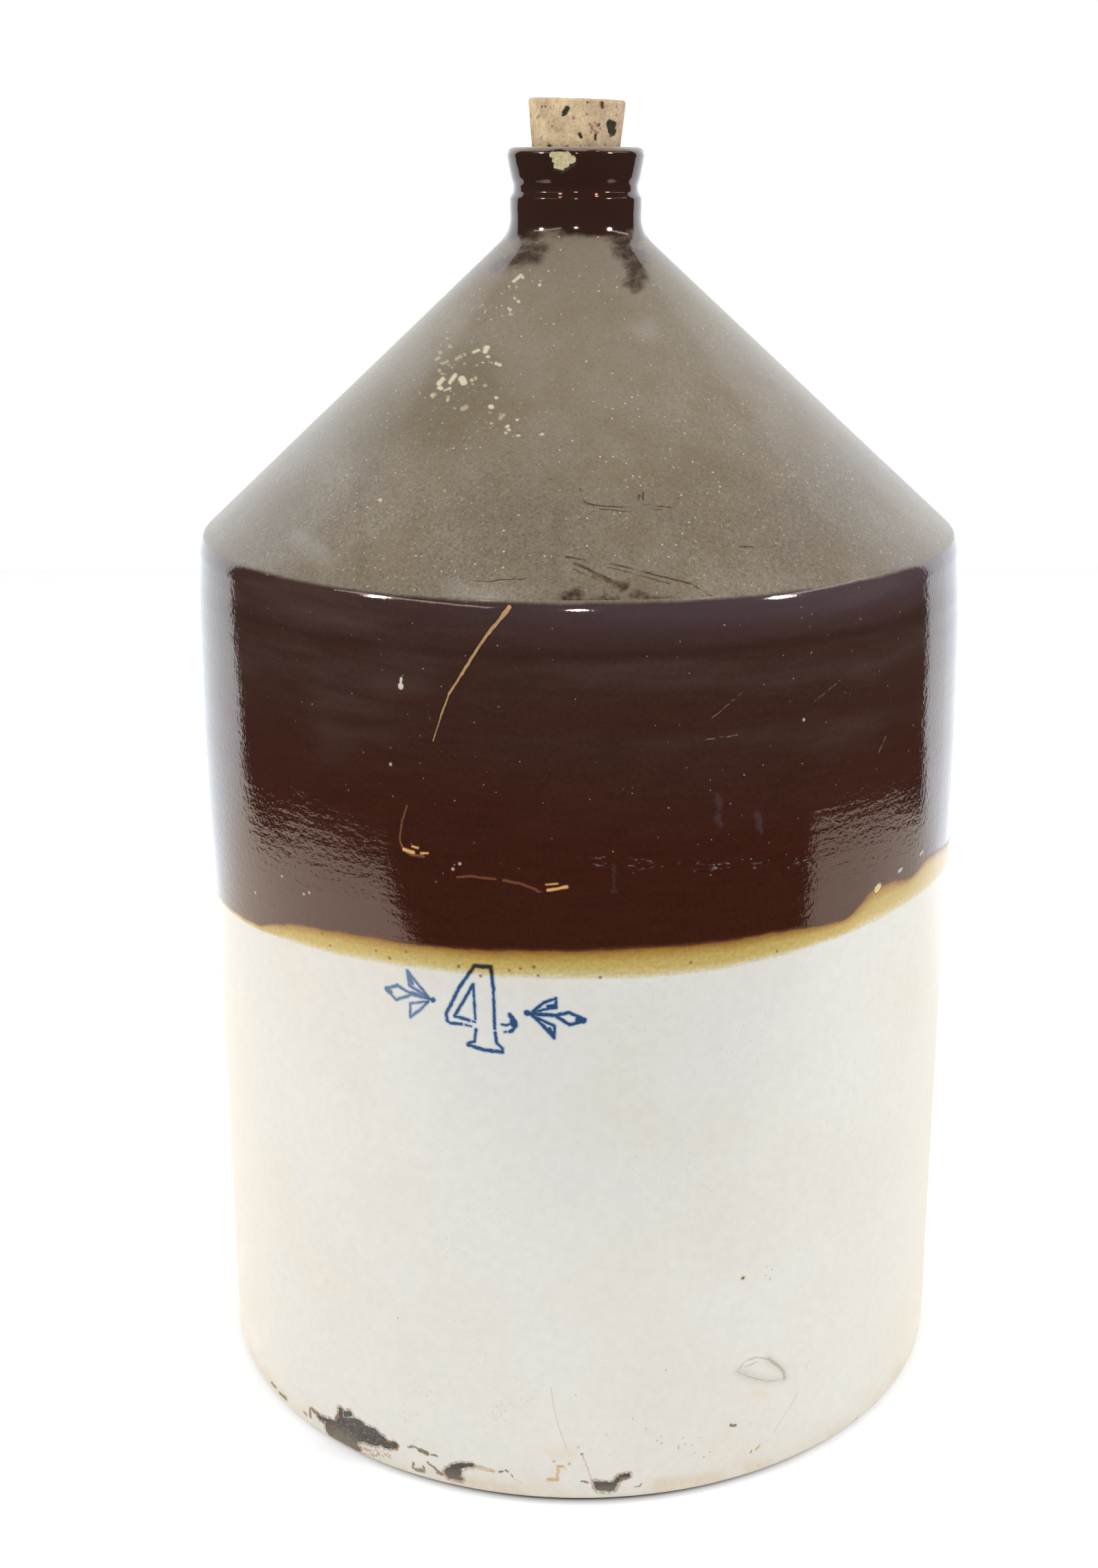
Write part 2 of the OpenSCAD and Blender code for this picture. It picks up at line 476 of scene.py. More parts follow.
@dataclass(frozen=True)
class FootWear:
    """Chips, stains and marks round the foot."""

    flake: Strokes = lines(
        (4, -92.4, 5, -84.5, 6.2), (4.4, -86, 8.2, -80, 10.2), (3.5, -80, 9.8, -73.6, 10.2),
        (1.9, -72.6, 10.4, -70, 10.2), (1.2, -68.6, 8.6, -65, 10), (1, -88.2, 11.5, -88, 15),
        (1, -86, 14, -83.6, 15.4), (1.3, -93.8, 2.6, -81, 2.4), (0.8, -99.5, 6.6, -95.5, 7.4),
    )
    tear: Strokes = lines(
        (2.2, -43.8, 5.3, -42.2, 6.2), (1.1, -42.8, 7.8, -39.6, 9.3),
        (0.65, -39.6, 9.5, -36.4, 10.2), (0.7, -42, 3.9, -40.2, 3.9),
    )
    nick: Strokes = lines(
        (1.8, 6.6, 5.6, 10, 5.2), (0.6, 5, 7.1, 5.6, 6.4), (0.8, 11.4, 6, 12.4, 8),
        (0.6, 13.2, 9.2, 16, 9.5),
    )
    arms: Strokes = lines(
        (0.6, -104.2, 7.8, -104.4, 4.4), (0.9, -103, 8, -99.8, 7.6, -97.4, 6),
        (1.5, -69.5, 9, -64.6, 10.2), (0.4, -108.2, 4.3, -106.6, 4), (0.7, -90.6, 10.2, -88.8, 13),
        (0.9, 12.4, 7.6, 15.6, 8.8),
    )
    fringe: Strokes = lines((1.6, -80, 2.6, -72, 3.4), (1.2, -73, 4.4, -67.6, 4.8))
    scraps: Strokes = lines(
        (0.4, -59.4, 11.4, -57.2, 12, -55.4, 11.8), (0.85, -55, 11.5, -52.2, 11),
        (0.35, -50.6, 11, -48.8, 10.9), (0.45, -57.6, 5.6, -58, 3.6, -56.4, 2.9),
        (0.8, -56.2, 3.2, -54.2, 3.4), (0.4, -53.6, 3.6, -53.9, 5.2),
        (0.4, -52.2, 7.4, -49.8, 6, -48, 4.6), (0.75, -48.4, 4.5, -47.2, 4.2),
        (0.6, -131, 3.9, -127.4, 3.9), (0.8, -124.4, 3.3, -119.6, 3.6),
        (0.4, -26.8, 9.2, -25.8, 9.5), (0.35, -24.6, 10.2, -23.8, 9.8),
        (0.25, -22.8, 8.8, -22.4, 8), (0.4, 0.6, 7.6, 2.6, 7.3),
        (0.25, 18.1, 4.7, 19.6, 4.6, 20.2, 5.6), (0.4, 0.6, 18.3), (0.55, 50.9, 22.5, 52.8, 21.9),
        (0.3, 58.9, 9.2, 59.3, 10), (0.5, 107, 0.6, 108.6, 1.6), (0.4, 120, 1, 121, 1.4),
    )
    rust: Strokes = lines(
        (0.5, -10.3, 8.2, -7.4, 8.1), (0.45, -3.5, 14.5), (0.25, -8.8, 15.2, -8.3, 15.4),
        (0.3, -0.6, 21.2), (0.4, -7.2, 13.4, -5.6, 13.5), (0.3, 61, 9.9, 62.2, 10.8),
    )
    rust_haze: Strokes = lines(
        (2.2, -8.4, 18.6, -3, 18.4), (1.4, -9.4, 10.6, -6.9, 12.6), (2, 60.6, 31.6, 62.6, 30.4),
    )
    tan_lines: Strokes = lines(
        (0.8, -35.6, 10.1, -32, 9.8, -28.8, 9.3), (0.22, 0.8, 17.6, 1.5, 16, 3, 11, 3.9, 7.6),
        (0.15, -21.6, 7.2, -19.2, 5.9), (0.5, -7.2, 12.2, -7.5, 9.2),
    )
    hairlines: Strokes = lines(
        (0.12, -9.3, 43, -8.5, 35.3, -6.8, 28.2, -4.4, 20.5), (0.14, 77.6, 26.6, 73.7, 21.1),
        (0.1, 72.8, 20.4, 67.8, 14.4), (0.1, 81.9, 36.9, 80.6, 34.2),
    )
    specks: Strokes = (
        *dots(
            0.2, (25.3, 21.7), (26.7, 23.1), (32.9, 18.8), (34.9, 18.9), (37.4, 18.2), (8.6, 25.5),
        ),
        *dots(
            0.16, (21.7, 26.8), (17.1, 31.1), (43.6, 14), (34.1, 21.3), (40.1, 20.1), (-1.4, 40.7),
            (38.3, 14.9), (41.5, 12.3), (-4.6, 12.4), (62.8, 78.6), (62.5, 3), (65.8, 4.8),
        ),
        *dots(0.24, (65.2, 77), (62.6, 75.6), (64.4, 73.8), (28, 48), (-62, 60)),
        *lines((0.14, 26.6, 20.4, 27.3, 20.8), (0.14, 32.5, 18.4, 32.6, 17.6)),
    )
    peppered: Strokes = lines((6, -60, 22, -50, 38), (5, -30, 30, -16, 42), (4, 60, 20, 46, 12))
    stain: Strokes = lines((2, 26, 4.6, 47, 3.6), (1.6, -36, 3, -22, 3.4), (1, 58, 3.4, 66, 3))
    blister: Strokes = lines(
        (0.1, 53.6, 43, 55.6, 45.6, 60.1, 45.9, 64.6, 44),
        (0.2, 64.6, 44, 68.7, 39.9, 70.9, 37, 71.6, 34),
        (0.12, 53.2, 42.4, 57.1, 39.5, 60.6, 37.6, 65, 35.4, 71.2, 33.8),
        (0.08, 55.4, 43.6, 60.2, 44.4),
    )
    pit: Strokes = dots(0.7, (54.2, 77))
    blister_at: Spot = (62.6, 39.9)
    blister_half: Spot = (10.2, 4.6)
    blister_tilt: float = -0.47

    def depth(self, spot: Spot) -> float:
        """Return how deep the broken clay lies below the wall at a spot."""
        found = 0.0
        breaks = ((self.flake, 1.1, 3.0), (self.tear, 0.7, 1.6), (self.nick, 0.7, 1.4))
        for strokes, deep, soft in breaks:
            gap = min(stroke.gap(spot) for stroke in strokes)
            found = max(found, deep * ease(-gap / soft + 0.15))
        return found

    def bulge(self, spot: Spot) -> float:
        """Return how far the glaze blister stands out at a spot."""
        local = Vector(spot) - Vector(self.blister_at)
        local.rotate(Matrix.Rotation(-self.blister_tilt, 2))
        across, up = local.x / self.blister_half[0], local.y / self.blister_half[1]
        steep = 2.6 if up > 0 else 1.5
        return 0.7 * ease((1.12 - math.hypot(across, up)) * steep)


@dataclass(frozen=True)
class CapacityMark:
    """The capacity, a plain outlined 4 between two plain leaf sprigs, in cobalt blue."""

    around: float = -32.3
    height: float = 175.0
    digit: Strokes = lines(
        (0.5, 0.1, 14, 5.2, 14.1), (0.42, 5.2, 14.1, 5.9, 7.2), (0.34, 5.9, 7.2, 6.1, -6.3),
        (0.36, 6.2, -7.5, 6.6, -11, 8.5, -12.7, 8.2, -13.8),
        (0.46, 8.3, -13.9, 2.6, -13.8, -2.5, -12.6), (0.3, -2.7, -12.2, -0.4, -11.2, 0.1, -7.1),
        (0.4, 0.1, 14, -5.1, 6, -9.4, -3.1, -9.2, -5.2), (0.34, -9.2, -5.4, -8, -6, -4.4, -5.9),
        (0.2, -3.2, -5.9, -1.4, -6.2), (0.36, -0.4, 7.9, -6.6, -3.3),
        (0.42, -6.4, -3.5, -1.9, -4.2), (0.28, -0.4, 7.9, 0, -3.6), (0.26, -1, -4.4, -0.2, -4.6),
        (0.24, 8.3, -4.6, 9.7, -4.8, 11, -4.2), (0.55, 10.9, -1.2, 11.9, -2.6),
        (1, 11.9, -3.2, 12.3, -4.4), (0.42, 12.3, -5.2, 11.6, -6.3, 10.8, -6.8),
        (0.22, 9.8, -7, 9.2, -7.1),
    )
    left_sprig: Strokes = lines(
        (0.75, -13.7, 1), (0.42, -13.8, 1, -17.6, 1.5), (0.6, -17.6, 1.5, -20.8, 2),
        (0.36, -20.8, 1.6, -25.8, 3.8, -29.8, 2), (0.3, -29.8, 1.4, -26.4, -1.2, -20.8, 1.6),
        (0.8, -29.6, 1.8, -28.6, 1), (0.3, -15, 1.5, -18.4, 5.2, -22.2, 9.4),
        (0.34, -22.2, 9.4, -21.6, 4.6, -15.4, 1.7), (0.6, -21.7, 7.4, -20.6, 5.6),
        (0.22, -15.3, 0.2, -21.5, -1.5), (0.28, -21.5, -1.6, -21.7, -6.2, -18.2, -3.1, -15.3, 0.2),
    )
    right_sprig: Strokes = lines(
        (0.85, 16.2, -0.2), (0.52, 16.4, -0.3, 21.2, -0.5, 25, -0.7),
        (0.42, 24.8, -0.6, 29, 0.4, 33.8, -2), (0.4, 33.6, -2.3, 29.2, -3.7, 24.8, -0.8),
        (0.85, 31.8, -1.9, 33.4, -2.2), (0.34, 17.9, 0.3, 21.2, 3.4, 25, 5, 25, 1.9),
        (0.3, 25, 1.9, 21.4, 1.2, 17.9, 0), (0.6, 24.4, 2.4, 22.8, 2.2),
        (0.4, 17.9, -1, 20.8, -3.9, 24.4, -8.2), (0.34, 24.4, -8.2, 24.6, -4.2, 17.9, -1.1),
        (0.65, 24, -6.9, 22.9, -5.4),
    )

    def strokes(self) -> Strokes:
        """Return every stroke of the mark, in its place on the wall."""
        every = (*self.digit, *self.left_sprig, *self.right_sprig)
        return placed(every, self.around, self.height)


@dataclass(frozen=True)
class ShoulderMarks:
    """Scratches, wiped places and spatters in the dust of the shoulder, as (side, height)."""

    scratches: Strokes = lines(
        (0.25, 0.1, 328, 0.3, 326.1, 1.5, 324.7, 4, 324.1),
        (0.1, 4, 324.1, 11, 323.6, 19.1, 324, 26.8, 323), (0.08, 6, 323.2, 14, 322.4, 24, 322.6),
        (0.2, 17.2, 326.4, 17, 325), (0.15, 18.4, 326.9, 18.3, 325.2),
        (0.25, -3.8, 311.5, 2.9, 310.5, 7.4, 310),
        (0.2, 7.4, 310, 14.7, 308.6, 22, 306.8, 31.9, 304.3), (0.08, 8, 309, 17, 307, 26, 304.6),
        (0.15, 31.9, 304.3, 39.4, 300.4), (0.4, -1.6, 310, 4.5, 307.6, 9.4, 305.7, 11.9, 303.9),
        (0.12, -2, 308.6, 6, 305.6), (0.25, 47, 312.3, 54, 311.9), (0.08, -30, 305, -14, 306.4),
    )
    streaks: Strokes = lines((0.7, -69, 337, -66.6, 319, -64.6, 303), (1.1, -6.7, 323, -6.5, 306))
    bare: Strokes = lines(
        (1.5, -4.4, 302.4, -0.4, 302.6), (1.4, -4.6, 301, 1, 300.9, 9.6, 300.9),
        (0.7, 4.2, 301.8, 7.6, 302), (0.3, 4, 307.2, 9.2, 305.6),
        (0.9, 9.8, 305.2, 12.9, 304.3, 11.8, 303.8), (0.7, 16, 302.4, 22, 300.9, 28, 300),
    )
    wiped: Strokes = lines(
        (1.4, -12.4, 394, -19, 393.4), (2.6, -15.4, 391, -20.6, 390.6),
        (1.6, -21.4, 390, -27, 387.8), (2.6, 12.4, 396.4, 16.6, 394.4),
        (3.4, 15, 392.6, 18.6, 390.6), (2.8, 17.8, 388, 18.2, 385.2), (2, 17.6, 383.6, 17.5, 382.6),
    )
    lip_chip: Strokes = lines(
        (1, -8.8, 421.9, -4, 422), (1.3, -7.8, 420.6, -2.6, 420.6), (1.3, -7.2, 419, -4.6, 419.2),
        (0.6, -6.6, 418, -5.6, 417.9),
    )
    halo: Strokes = lines((7, -48, 344, -34, 357), (3, -66, 338, -58, 345))
    splashed: Strokes = lines(
        (5, -44, 351, -30, 362), (2, -31, 347, -24, 344), (4, -28, 374, -14, 382),
    )
    spatters: Strokes = (
        *lines(
            (1.15, -36.6, 355.8, -36, 354.9), (0.8, -29, 364.7, -29.6, 363.6),
            (0.6, -38.8, 356.8, -40.4, 354.6), (0.75, -42.7, 355.4, -44, 354),
            (0.45, -31.6, 363.9, -33.2, 363.2),
        ),
        *dots(0.9, (-27.1, 348.8), (-43.5, 352.9)),
        *dots(0.55, (-25.9, 360.4), (-24.9, 360.2), (-28.6, 362.2), (-25.6, 351.3), (-21.9, 343.8)),
        *dots(0.5, (-21.4, 343), (-11.3, 342), (-18.2, 384.8), (-12.7, 382.7), (-60.3, 322.7)),
        *dots(0.35, (-30.1, 360.5), (-22.6, 382), (-20.6, 378.8), (-19.1, 345.6), (-22.4, 342.1)),
        *lines(
            (0.3, -42, 352.3, -40.2, 353.2), (0.25, -18.9, 341.5, -18.2, 341.6),
            (0.5, -18.8, 385.4, -21, 383.6),
        ),
    )
    faint: Strokes = (
        *lines(
            (0.75, -34.8, 348.5, -35.8, 347.9), (0.6, -37.4, 361.8, -38.8, 361),
            (0.5, -44.4, 361, -45.6, 360.3), (0.5, -41.6, 360.2, -43.4, 359.5),
            (0.6, -45.2, 351.2, -45.7, 350.4), (0.6, -23.2, 346.8, -24.2, 345.9),
        ),
        *dots(0.6, (-44, 357.5), (-29.2, 354.3), (-40.7, 350.7), (-44.3, 362.4), (-41.1, 364.3)),
        *dots(0.4, (-38.5, 347.8), (-33.1, 354.6), (-40, 358.6), (-42.2, 366.4), (-36, 360)),
    )
    pale: Strokes = lines(
        (1.2, -35.4, 303.1, -23.2, 300.5), (2.2, -84, 310, -78, 307), (2.4, 20.3, 369.9),
    )


@dataclass(frozen=True)
class WallMarks:
    """Firing cracks, flecks and specks on the dark wall and the amber band."""

    long_crack: Strokes = lines(
        (0.75, -20.8, 299.2, -23, 296.2), (0.65, -23, 296.2, -27, 291.4),
        (0.55, -27, 291.4, -30.3, 286.6, -34.9, 279.2), (0.48, -34.9, 279.2, -38.7, 273.3),
        (0.4, -38.7, 273.3, -41.5, 265.7), (0.3, -41.5, 265.7, -43.9, 258.7),
    )
    hook_crack: Strokes = lines(
        (0.16, -52.8, 237.7, -54.8, 231.8, -55.6, 226.5, -54.3, 223.5),
        (0.22, -54.3, 223.5, -51.5, 222.3, -47.7, 222.4),
    )
    hook_flake: Strokes = lines(
        (0.6, -54.2, 223.9, -51, 223.3), (0.35, -51.4, 225.2, -49.4, 224.9),
        (0.35, -48.4, 223.4, -46.2, 223.7),
    )
    low_crack: Strokes = lines(
        (0.22, -37, 217.1, -33, 217.8, -25.1, 217.5),
        (0.3, -22.8, 217.3, -17.6, 216.6, -13.2, 214.9, -8, 211.8),
    )
    low_flake: Strokes = lines((0.5, -9.6, 214.8, -3.9, 216), (0.28, -10, 216.6, -6.6, 217))
    teardrop: Strokes = lines((0.9, -54.1, 274.1), (0.35, -54.1, 275.2, -54, 276.4))
    flecks: Strokes = (
        *dots(0.5, (-122, 194.1), (-105, 204.7), (-91.8, 202.5), (-94.4, 201.4)),
        *dots(0.45, (-36.1, 221.5), (-38.3, 219.6), (-58, 250), (70, 262)),
    )
    drips: Strokes = lines(
        (0.8, 41.2, 242.4, 41.8, 238.4), (0.9, 41.4, 236, 42.2, 233.6), (0.9, 54.2, 235, 55.4, 230),
        (0.35, 10, 222, 10.2, 204),
    )
    scratches: Strokes = lines(
        (0.12, 102.4, 246, 106.6, 251.3), (0.08, 74, 267.1, 84.2, 272.1),
        (0.08, 39.1, 265.9, 48.6, 272.7), (0.1, 37.1, 259.6, 47.3, 260.2),
        (0.08, 78.4, 230.1, 93.5, 222), (0.1, -98, 236, -90, 232),
    )
    band_specks: Strokes = (
        *dots(0.55, (-37.2, 188.3), (-30.3, 185.9), (-13.9, 190), (6.1, 186.9), (-60.6, 187.4)),
        *dots(
            0.45, (-21.4, 188.4), (-18, 189.3), (-12.6, 187.3), (-90.6, 192.2), (33.8, 190),
            (-87.1, 189.8), (-83.8, 186.5), (-65.5, 189), (-54.7, 190.5), (62.8, 189.3),
        ),
    )
    pit: Strokes = lines((1.3, 104.6, 200.2, 105.8, 200.8))
    cloud: Strokes = lines((4, -78, 262, -56, 272))
    bubbles: Strokes = lines((0.7, 117, 203.1, 118.4, 203.3), (0.6, 131.8, 204.5, 133.4, 204.8))


@dataclass(frozen=True)
class Stoneware:
    """The jug's fired finishes: pale glaze, amber band, dark slip glaze, dust and bare clay."""

    cream: Colour = tint(220, 220, 215)
    cream_warm: Colour = tint(218, 210, 195)
    slip_high: Colour = tint(58, 38, 31)
    haze: Colour = tint(112, 98, 96)
    slip_low: Colour = tint(57, 26, 17)
    neck: Colour = tint(46, 27, 22)
    dust: Colour = tint(112, 101, 84)
    dust_pale: Colour = tint(132, 122, 105)
    clay: Colour = tint(186, 168, 134)
    slate: Colour = tint(66, 67, 68)
    slate_pale: Colour = tint(108, 105, 98)
    rust: Colour = tint(196, 150, 84)
    blue: Colour = tint(0, 62, 110)
    gloss: float = 0.07
    ior: float = 1.65
    mirror: Colour = (1.0, 0.84, 0.74)
    dust_ior: float = 1.3
    dust_sheen: float = 0.6
    sheen_rough: float = 0.45
    dust_coat: float = 0.35
    coat_rough: float = 0.22
    foot: FootWear = FootWear()
    mark: CapacityMark = CapacityMark()
    wall: WallMarks = WallMarks()
    shoulder: ShoulderMarks = ShoulderMarks()

    EDGE_SPAN = (170.0, 210.0)
    BROWN_EDGE = (
        (0.0, 182.4), (0.055, 180.5), (0.125, 179.2), (0.194, 178.8), (0.25, 179.0),
        (0.3, 179.9), (0.356, 183.8), (0.378, 190.2), (0.4125, 193.6), (0.442, 194.6),
        (0.475, 196.1), (0.517, 197.1), (0.553, 196.6), (0.58, 196.4), (0.61, 195.0),
        (0.621, 200.8), (0.63, 202.2), (0.653, 199.6), (0.668, 202.4), (0.697, 198.6),
        (0.75, 196.4),
        (0.8, 193.5), (0.89, 189.0), (0.96, 184.6), (1.0, 182.4),
    )
    CREAM_EDGE = (
        (0.0, 179.2), (0.055, 177.9), (0.125, 176.9), (0.194, 176.6), (0.25, 177.6),
        (0.317, 178.9), (0.367, 182.1), (0.424, 185.0), (0.467, 185.8), (0.504, 186.2),
        (0.542, 186.2), (0.586, 187.6), (0.629, 189.3), (0.669, 189.9), (0.703, 188.1),
        (0.75, 187.6), (0.8, 186.2), (0.89, 183.5), (0.96, 181.0), (1.0, 179.2),
    )
    BAND_STOPS = (
        (0.0, (216, 213, 204)), (0.1, (207, 199, 164)), (0.2, (200, 181, 122)),
        (0.32, (192, 169, 98)), (0.52, (185, 162, 88)), (0.62, (177, 145, 71)),
        (0.72, (167, 130, 57)), (0.82, (146, 104, 42)), (0.91, (92, 50, 22)),
        (1.0, (66, 34, 18)),
    )

    def material(self, zone: Zone) -> bpy.types.Material:
        """Make the material of one zone of the jug.

        Args:
            zone: The part of the surface that it is for.

        Returns:
            The material, with its nodes.
        """
        made, board = new_material(zone.value)
        ground = Ground.read(board)
        paint: Callable[[Board, Ground], Look] = {
            Zone.LOWER: self.lower_wall,
            Zone.BAND: self.band,
            Zone.UPPER: self.upper_wall,
            Zone.SHOULDER: self.neck_glaze,
            Zone.INSIDE: self.lining,
            Zone.BARE: self.bare_clay,
        }[zone]
        look = paint(board, ground)
        shader = look.shader(IOR=self.ior, Specular_Tint=self.mirror)
        if zone in (Zone.UPPER, Zone.SHOULDER):
            shader = self.dusted(board, ground, shader, zone)
        board.show(shader)
        return made

    def ripple(self, board: Board, ground: Ground) -> Term:
        """Return the relief of the glaze: level dimples, waves and orange peel, most of it low."""
        dimples = board.noise(ground.streaks, 0.42, 2.0)
        waves = board.noise(ground.streaks, 0.07, 1.0)
        peel = board.noise(ground.point, 0.55, 2.0, 0.6)
        low = board.fade(ground.height, 262.0, 216.0)
        sides = board.fade(abs(ground.side), 50.0, 112.0)
        lumps = board.noise(ground.streaks, 0.16, 2.0)
        rough = (dimples * 0.03 + peel * 0.042) * (low * 0.8 + sides * 0.9 + 0.5)
        return rough + lumps * 0.05 + waves * 0.05

    def slip(self, board: Board, ground: Ground) -> Look:
        """Return the dark slip glaze, greyer towards the shoulder and redder below."""
        drift = board.noise(ground.streaks, 0.05, 3.0)
        rise = board.fade(ground.height + (drift - 0.5) * 60.0, 212.0, 290.0)
        colour = board.mix(rise, self.slip_low, self.slip_high)
        rough = board.noise(ground.point, 0.08, 2.0) * 0.05 + self.gloss - 0.02
        look = Look(board, colour, rough, self.ripple(board, ground))
        haze = board.mottle(ground.streaks, 0.055, 0.5, 0.72, 3.0, 0.6)
        look.cover(haze * rise * 0.13, self.haze)
        lines = board.noise(ground.streaks, 0.5, 3.0, 0.6)
        look.shade(lines * 0.5 + 0.77)
        fine = board.noise(ground.point, 0.9, 3.0, 0.7)
        look.shade(board.fade(fine, 0.3, 0.7) * 0.22 + 0.89)
        return look

    def neck_glaze(self, board: Board, ground: Ground) -> Look:
        """Return the dark slip glaze of the shoulder and neck, with the chip in the lip."""
        look = self.slip(board, ground)
        look.cover(board.fade(ground.height, 380.0, 400.0) * 0.85, self.neck)
        place = board.join(ground.side, ground.height)
        shaken = board.roughen(place, 0.8, 0.7)
        chip = board.gap(shaken, self.shoulder.lip_chip)
        front = board.fade(ground.depth, -10.0, -14.0)
        shadow = board.gap(board.vector("ADD", shaken, (-0.3, 0.9, 0.0)), self.shoulder.lip_chip)
        look.cover(board.fade(shadow, 0.3, -0.3) * front * 0.9, tint(48, 44, 34), 0.5)
        grain = board.noise(ground.point, 0.9, 4.0, 0.7)
        clay = board.mix(board.fade(grain, 0.3, 0.75), tint(168, 156, 112), tint(212, 202, 164))
        look.cover(board.fade(chip, 0.1, -0.2) * front, clay, 0.8, -0.25)
        return look

    def pale_glaze(self, board: Board, ground: Ground) -> Look:
        """Return the pale glaze with its faint mottle, clusters of pinholes and painted shade at
        its left and right sides.
        """
        warm = board.mottle(ground.point, 0.02, 0.42, 0.72, 3.0)
        colour = board.mix(warm * 0.35, self.cream, self.cream_warm)
        rough = board.noise(ground.point, 0.1, 2.0) * 0.06 + 0.26
        look = Look(board, colour, rough, self.ripple(board, ground))
        look.shade(board.mottle(ground.point, 0.3, 0.3, 0.7, 4.0, 0.65) * 0.05 + 0.975)
        distance, chance = board.cells(ground.point, 0.85)
        patch = board.mottle(ground.point, 0.035, 0.5, 0.66, 2.0)
        hole = board.fade(distance, 0.24, 0.1) * board.fade(chance, 0.55, 0.8) * patch
        look.cover(hole * 0.5, tint(160, 152, 136), 0.4, -0.03)
        # Painted shade: the glaze is made warmer and a little darker towards the left and right
        # sides.
        aside = board.fade(abs(ground.side), 84.0, 132.0)
        look.cover(aside * 0.16, tint(220, 208, 178))
        return look

    def lower_wall(self, board: Board, ground: Ground) -> Look:
        """Return the pale glaze with the chips, stains and specks of the foot, and painted shade
        along its bottom edge and on the blister.
        """
        look = self.pale_glaze(board, ground)
        foot = self.foot
        shaken = board.roughen(ground.wall, 0.4, 0.8)
        ragged = board.roughen(board.roughen(ground.wall, 0.5, 0.5), 0.5, 1.4)
        blotch = board.noise(ground.wall, 0.9, 3.0, 0.65)
        low = board.fade(ground.height, 16.0, 1.0)
        stain = board.mottle(ground.wall, 0.06, 0.46, 0.7, 4.0, 0.6)
        look.cover(low * stain * 0.4, tint(204, 184, 150))
        band = board.mask(ragged, foot.stain, 2.0, -1.5)
        look.cover(band * board.fade(blotch, 0.25, 0.6) * 0.42, tint(202, 182, 148))
        haze = board.mask(shaken, foot.rust_haze, 2.0, -2.0)
        look.cover(haze * 0.26, tint(214, 190, 150))
        pepper = board.mask(ground.wall, foot.peppered, 5.0, -5.0)
        distance, chance = board.cells(ground.wall, 0.7)
        holes = board.fade(distance, 0.26, 0.1) * board.fade(chance, 0.45, 0.7)
        look.cover(holes * pepper * 0.5, tint(158, 152, 128), 0.4)
        rust = board.mask(shaken, foot.rust, 0.5, -0.3)
        look.cover(rust * board.fade(blotch, 0.2, 0.5) * 0.85, self.rust)
        lines = board.mask(ragged, foot.tan_lines, 0.3, -0.3)
        look.cover(lines * board.fade(blotch, 0.2, 0.6) * 0.75, tint(180, 140, 100))
        hair = board.mask(ground.wall, foot.hairlines, 0.25, 0.0)
        look.cover(hair * 0.3, tint(166, 158, 136), None, -0.02)
        broken = board.gap(ragged, foot.flake)
        fresh = board.gap(shaken, (*foot.tear, *foot.nick))
        rim = board.fade(abs(broken.least(fresh) - 0.3), 1.1, 0.1) * board.fade(blotch, 0.32, 0.56)
        look.cover(rim * 0.75, tint(118, 94, 62), 0.5)
        fringe = board.mask(ragged, foot.fringe, 0.5, -0.5) * board.fade(blotch, 0.46, 0.56)
        look.cover(fringe * 0.7, tint(142, 106, 86), 0.5)
        arms = board.mask(ragged, foot.arms, 0.4, -0.4)
        brown = board.mix(board.fade(blotch, 0.3, 0.7), tint(84, 66, 48), tint(150, 112, 70))
        look.cover(arms * 0.9, brown, 0.6, -0.2)
        grain = board.noise(ground.point, 1.1, 4.0, 0.65)
        slate = board.mix(board.fade(grain, 0.45, 0.85) * 0.6, self.slate, self.slate_pale)
        look.cover(board.fade(broken, 0.1, -0.25), slate, 0.7, -0.25)
        look.cover(board.fade(fresh, 0.15, -0.2), slate, 0.75, -0.25)
        drawn_out = board.vector("MULTIPLY", ground.wall, (0.35, 1.0, 1.0))
        scored = board.fade(abs(board.noise(drawn_out, 0.9, 2.0) - 0.5), 0.02, 0.005)
        scored = scored * board.fade(broken, 0.0, -1.0) * board.fade(blotch, 0.4, 0.6)
        look.cover(scored * 0.7, tint(172, 166, 152), 0.5)
        scraps = board.mask(ragged, foot.scraps, 0.3, -0.3)
        olive = board.mix(board.fade(blotch, 0.35, 0.65), tint(72, 58, 40), tint(126, 108, 70))
        look.cover(scraps * 0.9, olive, 0.6, -0.1)
        specks = board.mask(shaken, foot.specks, 0.2, -0.15)
        look.cover(specks * 0.85, tint(112, 104, 84), 0.5)
        pit = board.gap(shaken, foot.pit)
        look.cover(board.fade(pit, 0.6, 0.0) * 0.5, tint(200, 168, 120))
        look.cover(board.fade(pit, 0.1, -0.5), tint(110, 74, 44), 0.5, -0.15)
        line = board.mask(board.roughen(ground.wall, 0.5, 0.4), foot.blister, 0.3, 0.0)
        look.cover(line * board.mottle(ground.wall, 0.3, 0.3, 0.5, 2.0) * 0.45, tint(146, 138, 116))
        # Painted shade: the raised blister's lower right side is painted darker, and its right edge
        # line darker still, part outline and part shade.
        blister_shade = board.mask(ground.wall, foot.blister[1:3], 3.0, 0.0)
        look.cover(blister_shade * 0.26, tint(168, 160, 140))
        look.cover(board.mask(ground.wall, foot.blister[1:2], 0.8, 0.0) * 0.35, tint(128, 120, 100))
        # Painted shade along the bottom 1.2 mm of the foot, darkest across the middle and faint
        # towards the left and right sides.
        ahead = board.fade(abs(ground.side), 124.0, 10.0)
        painted_foot_shade = board.fade(ground.height, 1.2, 0.3) * (ahead * 0.5 + 0.08)
        look.cover(painted_foot_shade, tint(104, 104, 96), 0.6)
        look.cover(board.fade(ground.height, 9.0, 0.0) * 0.25, tint(206, 190, 160))
        return look

